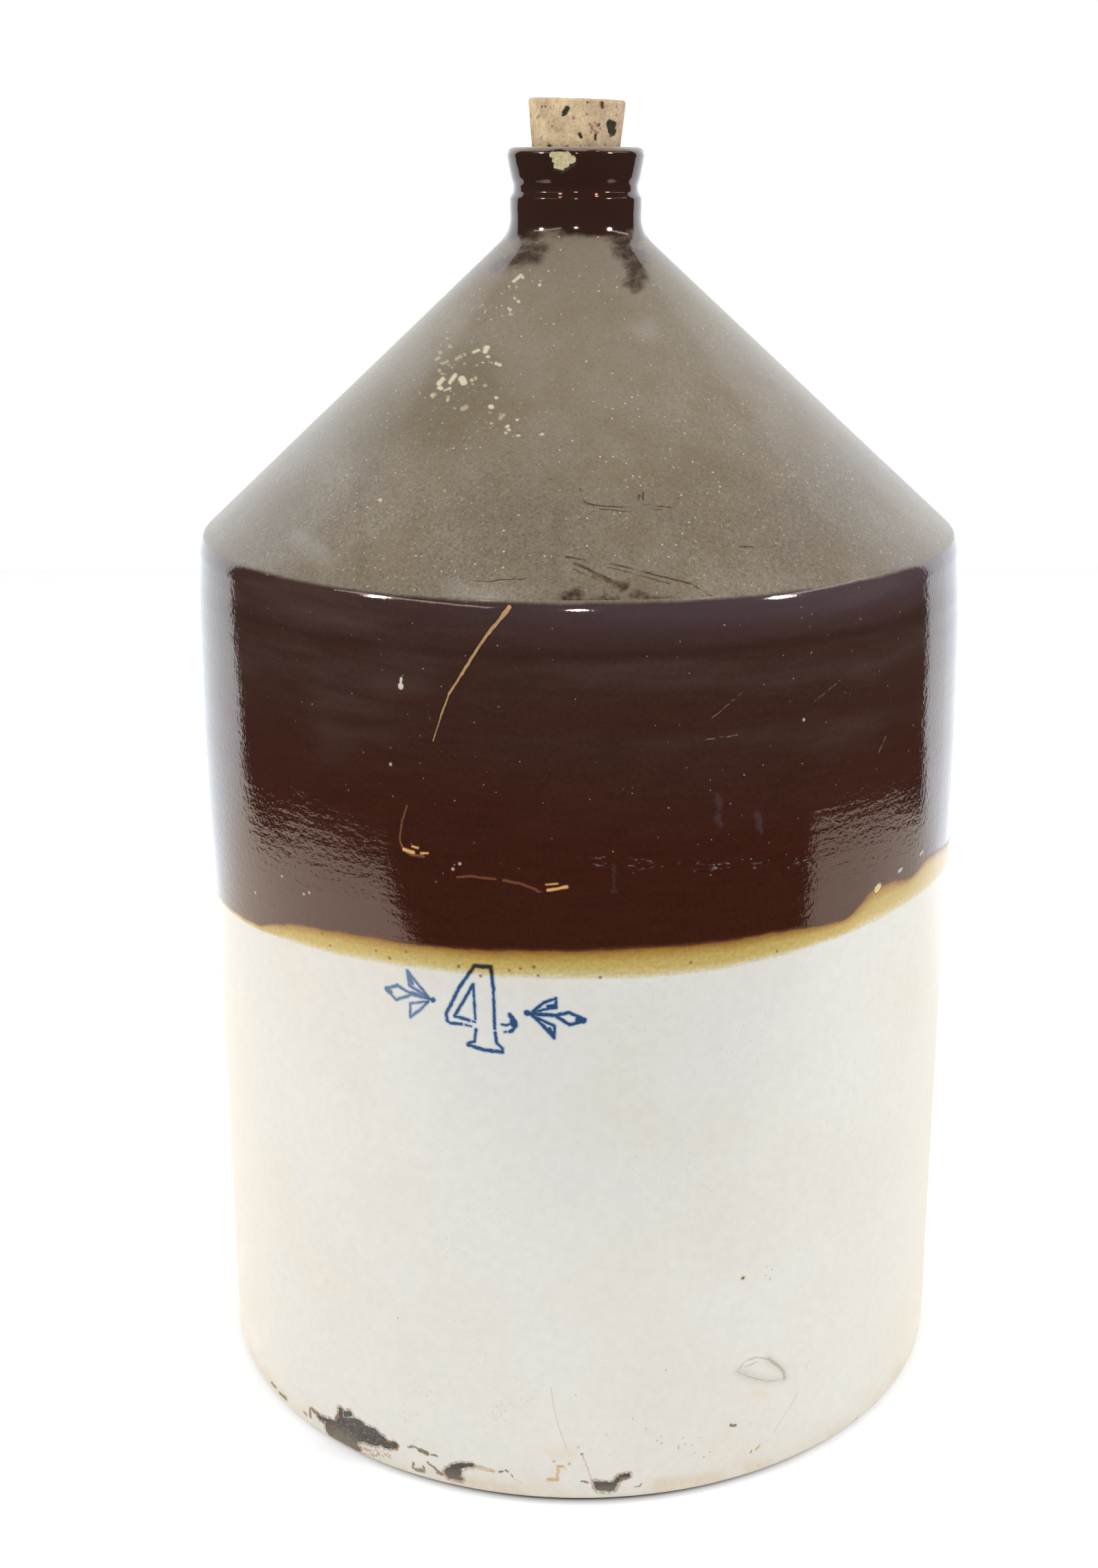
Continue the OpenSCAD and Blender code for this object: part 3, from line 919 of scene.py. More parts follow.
    def band(self, board: Board, ground: Ground) -> Look:
        """Return the meeting of the two glazes with the painted capacity."""
        look = self.pale_glaze(board, ground)
        dark = self.slip(board, ground)
        wobble = board.noise(ground.wall, 0.12, 3.0) - 0.5
        brown = board.curve(ground.turn, self.BROWN_EDGE, *self.EDGE_SPAN) + wobble * 1.6
        cream = board.curve(ground.turn, self.CREAM_EDGE, *self.EDGE_SPAN) + wobble * 0.8
        share = (ground.height - cream) / (brown - cream)
        flow = board.noise(ground.streaks, 0.35, 3.0) - 0.5
        amber = board.ramp(
            (share + flow * 0.16) * 0.96 + 0.02,
            [(at, tint(*colour)) for at, colour in self.BAND_STOPS],
            "EASE",
        )
        grainy = board.mottle(ground.wall, 0.7, 0.3, 0.7, 4.0, 0.7) * 0.26 + 0.86
        amber = board.mix(1.0, amber, board.join(grainy, grainy, grainy), "MULTIPLY")
        pale = board.fade(ground.turn, 0.6, 0.7) * board.fade(share, 0.95, 0.6)
        amber = board.mix(pale * 0.55, amber, tint(214, 192, 150))
        look.cover(board.fade(ground.height - cream, -0.5, 0.7), amber)
        specks = board.mask(ground.wall, self.wall.band_specks, 0.3, -0.3)
        look.cover(specks * 0.75, tint(112, 70, 24))
        self._capacity(board, ground, look, board.fade(ground.height - cream, -0.3, 1.2))
        over = board.fade(ground.height - brown, -1.3, 0.3)
        look.cover(over, dark.colour, dark.rough)
        pit = board.gap(board.roughen(ground.wall, 0.3, 0.8), self.wall.pit)
        look.cover(board.fade(pit, 0.7, 0.1) * 0.6, tint(120, 84, 36))
        look.cover(board.fade(pit, 0.1, -0.3), tint(214, 196, 142), 0.5, -0.3)
        self._wall_flecks(board, ground, look)
        return look

    def _capacity(self, board: Board, ground: Ground, look: Look, amber: Term) -> None:
        """Paint the capacity mark, blue on the pale glaze and almost black on the amber."""
        shaken = board.roughen(ground.wall, 0.22, 0.9)
        gap = board.gap(shaken, self.mark.strokes())
        stamped = board.noise(ground.wall, 0.7, 3.0, 0.6)
        faint = board.fade(ground.side, -44.0, -50.0) * 0.26
        edge = board.fade(gap, 0.75, 0.1) * board.fade(stamped, 0.1, 0.4)
        core = board.fade(gap + (stamped - 0.5) * 0.9, 0.28, -0.08)
        pale = board.mix(amber, tint(118, 164, 206), tint(104, 96, 60))
        deep = board.mix(amber, self.blue, tint(24, 32, 34))
        look.cover(edge * 0.7, pale)
        look.cover(core * (0.97 - faint), deep, 0.34)

    def _wall_flecks(self, board: Board, ground: Ground, look: Look) -> None:
        """Scatter the pale flecks and bubbles of the dark wall's lower half."""
        dot = board.mask(ground.wall, (*self.wall.flecks, *self.wall.bubbles), 0.3, -0.3)
        look.cover(dot * 0.8, tint(190, 184, 176), 0.3, 0.1)

    def upper_wall(self, board: Board, ground: Ground) -> Look:
        """Return the dark wall with its firing cracks, flecks and drips."""
        look = self.slip(board, ground)
        wall = self.wall
        unlevel = (board.noise(ground.streaks, 0.04, 2.0) - 0.5) * 3.0 + ground.height
        collar = board.fade(unlevel, 284.0, 292.0)
        collar = collar * (board.fade(ground.side, -70.0, 100.0) * 0.12 + 0.03)
        look.cover(collar, tint(104, 88, 98))
        bluish = board.fade(ground.side, -90.0, 30.0) * 0.14
        look.cover(board.fade(unlevel, 290.0, 298.0) * bluish, tint(96, 92, 110))
        look.cover(board.fade(abs(unlevel - 285.6), 2.6, 0.2) * 0.3, tint(40, 24, 20))
        soft = board.roughen(ground.wall, 8.0, 0.05)
        cloud = board.mask(soft, wall.cloud, 16.0, -4.0)
        look.cover(cloud * board.mottle(ground.streaks, 0.12, 0.36, 0.66, 3.0) * 0.13, self.haze)
        shaken = board.roughen(ground.wall, 0.3, 0.5)
        crack = board.gap(shaken, wall.long_crack)
        look.cover(board.fade(crack, 0.5, 0.0) * 0.7, tint(38, 20, 12), 0.3)
        grain = board.noise(ground.wall, 0.8, 3.0, 0.6)
        straw = board.mix(grain, tint(136, 96, 54), tint(206, 166, 112))
        look.cover(board.fade(crack, 0.05, -0.3), straw, 0.6, -0.25)
        fine = board.gap(shaken, (*wall.hook_crack, *wall.low_crack))
        look.cover(board.fade(fine, 0.35, -0.1) * 0.7, tint(122, 72, 40), 0.4, -0.06)
        gold = board.gap(shaken, (*wall.hook_flake, *wall.low_flake))
        look.cover(board.fade(gold, 0.4, 0.0) * 0.6, tint(120, 66, 30))
        look.cover(board.fade(gold, 0.1, -0.3), tint(216, 164, 98), 0.35, 0.1)
        tear = board.mask(shaken, wall.teardrop, 0.25, -0.2)
        look.cover(tear, tint(205, 198, 180), 0.4, 0.15)
        drip = board.mask(board.roughen(ground.wall, 1.8, 0.5), wall.drips, 0.8, -0.6)
        look.cover(drip * 0.09, tint(126, 122, 132))
        scratch = board.mask(shaken, wall.scratches, 0.2, -0.05)
        scratch = scratch * board.mottle(ground.wall, 0.5, 0.42, 0.56, 2.0)
        look.cover(scratch * 0.4, tint(150, 138, 132))
        around, up, _ = board.split(ground.wall)
        row = board.fade(abs(up + around * 0.104 - 224.6), 2.6, 0.3)
        row = row * board.fade(around, -2.0, 6.0) * board.fade(around, 92.0, 78.0)
        stretched = board.vector("MULTIPLY", ground.wall, (0.4, 1.0, 1.0))
        broken = board.mottle(stretched, 0.9, 0.56, 0.66, 3.0, 0.65)
        groups = board.mottle(ground.wall, 0.13, 0.44, 0.58, 2.0)
        look.cover(row * broken * groups * 0.6, tint(150, 150, 160), 0.3, 0.08)
        self._wall_flecks(board, ground, look)
        distance, chance = board.cells(board.roughen(ground.wall, 0.5, 0.5), 0.3)
        fleck = board.fade(distance, 0.08, 0.03) * board.fade(chance, 0.2, 0.6)
        look.cover(fleck * chance, tint(172, 166, 168), 0.3, 0.04)
        return look

    def dusted(self, board: Board, ground: Ground, glaze: Socket, zone: Zone) -> Socket:
        """Lay the shelf dust over every part that faces up.

        Args:
            board: The material's nodes.
            ground: The place of the shading point.
            glaze: The shader of the glaze below.
            zone: The part of the surface; only the shoulder has marks in its dust.

        Returns:
            The shader of glaze and dust together.
        """
        uneven = board.noise(ground.point, 0.12, 3.0) - 0.5
        near_neck = board.fade(ground.height, 386.0, 398.0)
        upward = (ground.upward - 0.5) * (1.0 - near_neck * 0.5) + near_neck * 0.08 + 0.5
        lie = board.fade(upward + uneven * (near_neck * 0.3 + 0.08), 0.5, 0.64)
        off_neck = board.fade(ground.depth, 23.0, 27.0)
        lie = lie * board.fade(abs(ground.height - 412.0), 10.5, 11.5).most(off_neck)
        grain = board.noise(ground.point, 1.1, 4.0, 0.75)
        clouds = board.noise(ground.point, 0.022, 4.0, 0.6)
        colour = board.mix(board.fade(clouds, 0.35, 0.75), self.dust, self.dust_pale)
        dust = Look(board, colour, board.math("ADD", 0.85, 0.0), grain * 0.16)
        dust.shade(board.fade(grain, 0.28, 0.72) * 0.56 + 0.74)
        dust.shade(board.mottle(ground.point, 0.45, 0.3, 0.7, 3.0, 0.7) * 0.16 + 0.92)
        thick = lie * (board.fade(grain, 0.2, 0.5) * 0.3 + 0.66)
        if zone is Zone.SHOULDER:
            thick = self._shoulder_marks(board, ground, dust, thick)
        over = dust.shader(
            IOR=self.dust_ior, Sheen_Weight=self.dust_sheen, Sheen_Roughness=self.sheen_rough,
            Coat_Weight=self.dust_coat, Coat_Roughness=self.coat_rough, Coat_IOR=1.5,
        )
        both = {"Fac": thick, "Shader": glaze, "Shader_001": over}
        return board.node("ShaderNodeMixShader", None, both).outputs["Shader"]

    def _shoulder_marks(self, board: Board, ground: Ground, dust: Look, thick: Term) -> Term:
        """Draw what has happened to the dust, and return how thick it is left."""
        marks, steep = self.shoulder, ground.STEEP
        front = board.fade(ground.depth, 4.0, -6.0)
        lie = board.fade(thick, 0.3, 0.55)
        shaken = board.roughen(ground.slope, 0.5, 0.6)
        cloudy = board.roughen(ground.slope, 4.0, 0.12)
        near_neck = board.fade(ground.height, 372.0, 396.0)
        dust.cover(board.fade(ground.height, 312.0, 362.0) * 0.7, tint(134, 123, 104))
        dust.cover(near_neck * 0.25, tint(100, 88, 72))
        tawny = board.mottle(ground.point, 0.035, 0.44, 0.66, 3.0, 0.6)
        dust.cover(tawny * 0.42, tint(112, 93, 62))
        halo = board.mask(cloudy, marks.halo, 14.0, -5.0, steep) * front
        dust.cover(halo * 0.6, tint(97, 83, 50))
        pale = board.mask(cloudy, marks.pale, 5.0, -2.5, steep) * front
        dust.cover(pale * 0.3, tint(160, 158, 148))
        distance, chance = board.cells(board.roughen(ground.point, 0.5, 0.7), 0.5)
        rare = board.mottle(ground.point, 0.05, 0.42, 0.62, 2.0) * board.fade(chance, 0.5, 0.95)
        lint = board.fade(distance, 0.2, 0.08) * (rare + board.fade(chance, 0.8, 0.86) * 0.6)
        dust.cover(lint * 0.85, tint(204, 198, 180), None, 0.1)
        fibre = board.fade(abs(board.noise(ground.point, 0.5, 1.0) - 0.5), 0.016, 0.004)
        fibre = fibre * board.mottle(ground.point, 0.7, 0.54, 0.62, 1.0)
        dust.cover(fibre * board.fade(abs(ground.side), 0.0, 45.0) * 0.6, tint(192, 186, 168))
        spatter = board.mask(shaken, marks.spatters, 0.4, -0.3, steep)
        distance, chance = board.cells(board.roughen(ground.slope, 0.6, 0.5), 0.42)
        splashed = board.mask(ground.slope, marks.splashed, 3.0, -3.0, steep)
        drop = board.fade(distance - chance * 0.12, 0.22, 0.12) * board.fade(chance, 0.3, 0.5)
        thin = board.mask(shaken, marks.faint, 0.4, -0.3, steep)
        spatter = spatter.most(drop * splashed * 0.8).most(thin * 0.45) * front
        dust.cover(spatter, tint(206, 198, 164), None, 0.15)
        wander = board.noise(ground.slope, 0.16, 2.0)
        bent = board.roughen(ground.slope, 0.6, 0.25)
        scratch = board.mask(bent, marks.scratches, 0.3, -0.1, steep)
        scratch = scratch * board.fade(wander, 0.34, 0.58)
        streak = board.mask(cloudy, marks.streaks, 2.5, -1.5, steep)
        worn = board.mask(board.roughen(ground.slope, 3.0, 0.16), marks.bare, 1.2, -0.8, steep)
        mottled = board.roughen(board.roughen(ground.slope, 2.6, 0.2), 1.6, 0.7)
        wiped = board.mask(mottled, marks.wiped, 3.0, -1.6, steep)
        patchy = board.mottle(ground.slope, 0.3, 0.25, 0.6, 4.0, 0.7) * 0.4 + 0.5
        film = board.mottle(ground.slope, 0.5, 0.36, 0.62, 4.0, 0.7) * 0.45 + 0.45
        cleared = (scratch * 0.8).most(streak * 0.14).most(worn * film).most(wiped * patchy) * front
        return (thick * (1.0 - cleared)).most(spatter * lie * 0.95)

    def lining(self, board: Board, ground: Ground) -> Look:
        """Return the dark slip glaze that lines the inside."""
        look = self.slip(board, ground)
        look.shade(board.noise(ground.point, 0.03, 2.0) * 0.6 + 0.7)
        return look

    def bare_clay(self, board: Board, ground: Ground) -> Look:
        """Return the unglazed clay of the underside, with grit and kiln marks."""
        grit = board.noise(ground.point, 0.9, 5.0, 0.7)
        clouds = board.mottle(ground.point, 0.03, 0.35, 0.7, 3.0)
        colour = board.mix(clouds, self.clay, tint(204, 186, 150))
        look = Look(board, colour, board.math("ADD", 0.8, 0.0), grit * 0.18)
        distance, chance = board.cells(ground.point, 0.4)
        iron = board.fade(distance, 0.22, 0.1) * board.fade(chance, 0.5, 0.7)
        look.cover(iron * 0.7, tint(98, 70, 46))
        look.shade(grit * 0.5 + 0.75)
        return look


@dataclass
class JugBody:
    """The thrown body with its neck, lip and pulled strap handle, as one piece."""

    stoneware: Stoneware
    recess_r: float = 114.8
    ring_r: float = 116.3
    recess: float = 1.5
    foot_r: float = 132.1
    foot_round: float = 2.5
    shoulder_r: float = 130.0
    shoulder_h: float = 299.1
    shoulder_round: float = 8.5
    neck_r: float = 21.9
    neck_base: float = 397.5
    neck_fillet: float = 10.5
    lip_top: float = 424.4
    bore_r: float = 14.37
    wall_t: float = 9.0
    floor_t: float = 11.0
    strap_w: float = 27.0
    strap_t: float = 10.5
    bend_r: float = 33.0
    bend_at: Spot = (40.5, 375.6)
    bend_from: float = -44.0
    bend_to: float = 149.0
    root_spread: float = 6.0
    neck_spread: float = 3.5
    band_from: float = 150.0
    band_to: float = 214.0
    shoulder_from: float = 301.0
    front_from: float = -165.0
    front_turn: float = 140.0
    front_steps: int = 168
    back_steps: int = 66
    uneven: float = 0.1
    set_in: float = 0.06
    pit_at: Spot = (105.2, 200.5)
    pit_r: float = 2.4
    pit_deep: float = 0.6
    lip_r: float = 22.0
    lip_chip_at: Spot = (-4.4, 420.5)
    lip_chip_half: Spot = (4.4, 3.4)
    lip_chip_deep: float = 0.7

    WALL = (
        (0.0, 132.1), (18.0, 132.3), (42.0, 132.0), (76.0, 131.8), (120.0, 131.6),
        (150.0, 131.65), (184.0, 132.15), (210.0, 132.4), (232.0, 132.4), (248.0, 132.1),
        (263.0, 131.8), (272.0, 131.5), (283.6, 130.9), (290.0, 130.3), (296.0, 130.0),
    )
    WOBBLE = (
        (24.0, 0.15), (104.0, 0.3), (160.0, 0.4), (208.0, 0.0), (254.0, -0.1), (294.0, -0.4),
        (340.0, -0.9), (398.0, -1.4),
    )

    RINGS = ((22.0, 0.9), (50.0, 1.6), (396.0, 4.0))
    NECK_APART = 0.9
    INSIDE_APART = 12.0

    @property
    def slope(self) -> float:
        """Return the rise of the shoulder for each millimetre towards the neck."""
        return (self.neck_base - self.shoulder_h) / (self.shoulder_r - self.neck_r)

    def cone(self, radius: float) -> float:
        """Return the height of the shoulder at a distance from the axis."""
        return self.shoulder_h + (self.shoulder_r - radius) * self.slope

    def corners(self) -> list[tuple[float, float, float]]:
        """List the corners of the half section as (radius, height, rounding)."""
        inner_r = self.shoulder_r - self.wall_t
        drop = self.wall_t * math.hypot(1.0, self.slope)
        outer = [
            (0.0, self.recess, 0.0),
            (self.recess_r, self.recess, 0.5),
            (self.ring_r, 0.0, 0.5),
            (self.foot_r, 0.0, self.foot_round),
            *((self.foot_r, z, 0.0) for z in (22.0, 50.0, self.band_from, self.band_to, 260.0)),
            (self.shoulder_r, 284.0, 0.0),
            (self.shoulder_r, self.shoulder_h, self.shoulder_round),
            (self.neck_r, self.neck_base, self.neck_fillet),
            (self.neck_r, 408.6, 1.0),
            (20.8, 410.5, 0.9),
            (20.5, 412.3, 3.0),
            (21.35, 414.8, 6.0),
            (22.1, 418.4, 4.0),
            (23.1, self.lip_top, 2.7),
            (17.9, self.lip_top, 1.6),
            (15.3, 421.6, 2.0),
            (self.bore_r, 418.0, 2.0),
        ]
        inner = [
            (self.bore_r, self.cone(self.bore_r) - drop, 7.0),
            (inner_r, self.cone(inner_r) - drop, 14.0),
            (self.foot_r - self.wall_t, self.floor_t, 18.0),
            (0.0, self.floor_t, 0.0),
        ]
        return outer + inner

    def spacing(self, radius: float, height: float) -> float:
        """Return how far apart the rings are at a place of the outline."""
        if 1 < radius < self.shoulder_r - 4 and height < 300:
            return self.INSIDE_APART
        return next((apart for below, apart in self.RINGS if height < below), self.NECK_APART)

    def outline(self, bm: bmesh.types.BMesh) -> None:
        """Draw the half section as wires: corners, their roundings and the rings' places."""
        corners = self.corners()
        verts = [bm.verts.new((r * MM, 0.0, z * MM)) for r, z, _ in corners]
        bm.faces.new(verts)
        for index, (vert, (r, z, rounding)) in enumerate(zip(verts, corners)):
            if not rounding:
                continue
            before, after = corners[index - 1], corners[index + 1]
            one = Vector((before[0] - r, before[1] - z)).normalized()
            two = Vector((after[0] - r, after[1] - z)).normalized()
            half = one.angle(two) / 2
            bmesh.ops.bevel(
                bm,
                geom=[vert],
                offset=rounding * MM / math.tan(half),
                offset_type="ABSOLUTE",
                segments=max(2, round((math.pi - 2 * half) * rounding ** 0.5 * 4)),
                profile=0.5,
                affect="VERTICES",
                clamp_overlap=False,
                material=-1,
            )
        bmesh.ops.delete(bm, geom=list(bm.faces), context="FACES_KEEP_BOUNDARY")
        axis = [e for e in bm.edges if all(v.co.x < 1e-7 for v in e.verts)]
        bmesh.ops.delete(bm, geom=axis, context="EDGES")
        for edge in list(bm.edges):
            middle = (edge.verts[0].co + edge.verts[1].co) / 2 / MM
            cuts = math.ceil(edge.calc_length() / MM / self.spacing(middle.x, middle.z)) - 1
            if cuts > 0:
                bmesh.ops.subdivide_edges(bm, edges=[edge], cuts=cuts)

    def curve_wall(self, bm: bmesh.types.BMesh) -> None:
        """Give the outside of the wall its waist, its belly and its turn in under the rim."""
        for vert in bm.verts:
            r, z = vert.co.x / MM, vert.co.z / MM
            if self.foot_round + 0.1 < z < 295.0 and r > self.shoulder_r - 3:
                vert.co.x = through(self.WALL, z) * MM

    def throw(self, bm: bmesh.types.BMesh) -> None:
        """Spin the outline into the body, with finer steps where the chips are seen."""
        start = Matrix.Rotation(math.radians(self.front_from), 3, "Z")
        bmesh.ops.rotate(bm, verts=bm.verts, cent=(0, 0, 0), matrix=start)
        geom = list(bm.verts) + list(bm.edges)
        rest = 360.0 - self.front_turn
        for angle, steps in ((self.front_turn, self.front_steps), (rest, self.back_steps)):
            made = bmesh.ops.spin(
                bm, geom=geom, cent=(0, 0, 0), axis=(0, 0, 1), angle=math.radians(angle),
                steps=steps, use_merge=False,
            )
            geom = made["geom_last"]
        bmesh.ops.remove_doubles(bm, verts=bm.verts, dist=2e-6)
        bmesh.ops.recalc_face_normals(bm, faces=bm.faces)

    def wear(self, bm: bmesh.types.BMesh) -> None:
        """Press the chips and the throwing marks into the spun body."""
        foot = self.stoneware.foot
        for vert in bm.verts:
            r = math.hypot(vert.co.x, vert.co.y) / MM
            z = vert.co.z / MM
            angle = math.atan2(vert.co.x, -vert.co.y)
            outside = r > self.shoulder_r - 3 or z > 300
            push = 0.0
            if outside and 3.0 < z < 404.0:
                place = Vector((math.cos(angle), math.sin(angle), z / 60))
                push = self.uneven * noise.noise(place * 1.7) - self.set_in
            if r > self.foot_r - 3 and z < 50:
                spot = (angle * WALL_R, z)
                push += foot.bulge(spot) - foot.depth(spot)
            if 415 < z < self.lip_top - 0.1 and r > 19:
                across = (angle * self.lip_r - self.lip_chip_at[0]) / self.lip_chip_half[0]
                up = (z - self.lip_chip_at[1]) / self.lip_chip_half[1]
                push -= self.lip_chip_deep * ease(1.6 - math.hypot(across, up) * 1.4)
            pit = math.hypot(angle * WALL_R - self.pit_at[0], z - self.pit_at[1])
            if outside and pit < 3:
                push -= self.pit_deep * ease(1 - pit / self.pit_r)
            if push and r > 1:
                vert.co.x += push * MM * vert.co.x / (r * MM)
                vert.co.y += push * MM * vert.co.y / (r * MM)

    def wobble(self, bm: bmesh.types.BMesh) -> None:
        """Shift each height sideways as the hand-thrown jug leans."""
        for vert in bm.verts:
            vert.co.x += through(self.WOBBLE, vert.co.z / MM) * MM

    def strap(self) -> bmesh.types.BMesh:
        """Pull the strap handle in one bend, its ends spread on to the neck and the shoulder."""
        bm = bmesh.new()
        bmesh.ops.create_circle(bm, cap_ends=False, segments=44, radius=1.0)
        for vert in bm.verts:
            across, out = vert.co.x, vert.co.y
            wide = math.copysign(abs(across) ** 0.65, across) * self.strap_w / 2
            thick = math.copysign(abs(out) ** 0.8, out) * self.strap_t / 2
            if out > 0:
                ridges = 0.35 * math.exp(-(((abs(wide) - 9.0) / 2.5) ** 2))
                thick -= 0.7 * math.exp(-((wide / 5.0) ** 2)) - ridges
            vert.co = Vector((wide, self.bend_r + thick, 0.0)) * MM
        first = Matrix.Rotation(math.radians(self.bend_from), 3, "X")
        bmesh.ops.rotate(bm, verts=bm.verts, cent=(0, 0, 0), matrix=first)
        turn = math.radians(self.bend_to - self.bend_from)
        bmesh.ops.spin(
            bm, geom=list(bm.verts) + list(bm.edges), cent=(0, 0, 0), axis=(1, 0, 0),
            angle=turn, steps=90, use_merge=False,
        )
        bmesh.ops.holes_fill(bm, edges=[e for e in bm.edges if e.is_boundary], sides=0)
        bmesh.ops.translate(bm, verts=bm.verts, vec=Vector((0.0, *self.bend_at)) * MM)
        bmesh.ops.recalc_face_normals(bm, faces=bm.faces)
        self.spread_roots(bm)
        self.wobble(bm)
        return bm

    def spread_roots(self, bm: bmesh.types.BMesh) -> None:
        """Widen the strap's ends in a concave quarter round, as wiped-on clay has it."""
        lean = 1 / math.hypot(1.0, self.slope)
        for vert in bm.verts:
            x, y, z = vert.co / MM
            r = math.hypot(x, y)
            off_slope = (z - self.cone(r)) * lean
            off_neck = r - self.neck_r
            neck = y < self.bend_at[0]
            spread = self.neck_spread if neck else self.root_spread
            over = min(off_slope, off_neck) if neck else off_slope
            left = min(spread, max(0.0, spread - over))
            grow = spread - math.sqrt(max(0.0, spread * spread - left * left))
            bend = math.atan2(z - self.bend_at[1], y - self.bend_at[0])
            out = math.hypot(z - self.bend_at[1], y - self.bend_at[0]) - self.bend_r
            away = Vector((x / self.strap_w * 2, out / self.strap_t * 2))
            if away.length < 1e-6:
                continue
            away = away.normalized() * grow
            vert.co.x += away.x * MM
            vert.co.y += away.y * math.cos(bend) * MM
            vert.co.z += away.y * math.sin(bend) * MM
            lump = noise.noise(Vector((x, y, z)) * 0.09) * 0.25
            vert.co.y += lump * math.cos(bend) * MM
            vert.co.z += lump * math.sin(bend) * MM

    def zone(self, centre: Vector, normal: Vector) -> Zone:
        """Tell which zone a face of the finished body is in."""
        r, z = math.hypot(centre.x, centre.y) / MM, centre.z / MM
        inward = normal.x * centre.x + normal.y * centre.y < 0
        under = self.cone(r) - 3.0
        if z < 0.4 or (z < 2.0 and r < self.foot_r - 3):
            return Zone.BARE
        if r < self.shoulder_r - 4 and z < min(under, 421.0) and (r < 20 or z < under):
            if r < self.neck_r - 3 or z < under:
                return Zone.INSIDE
        if inward and r < self.bore_r + 0.6:
            return Zone.INSIDE
        if z < self.band_from:
            return Zone.LOWER
        if z < self.band_to:
            return Zone.BAND
        return Zone.UPPER if z < self.shoulder_from else Zone.SHOULDER

    def build(self) -> bpy.types.Object:
        """Make the whole body as one closed mesh.

        Returns:
            The finished object, which main hangs on the frame in place of the CAD node.
        """
        bm = bmesh.new()
        self.outline(bm)
        self.curve_wall(bm)
        self.throw(bm)
        self.wear(bm)
        self.wobble(bm)
        body = add_object("jug_body", bm)
        strap = add_object("strap", self.strap())
        joined = united(body, strap)
        for zone in Zone:
            joined.data.materials.append(self.stoneware.material(zone))
        order = list(Zone)
        for polygon in joined.data.polygons:
            polygon.material_index = order.index(self.zone(polygon.center, polygon.normal))
            polygon.use_smooth = True
        return joined


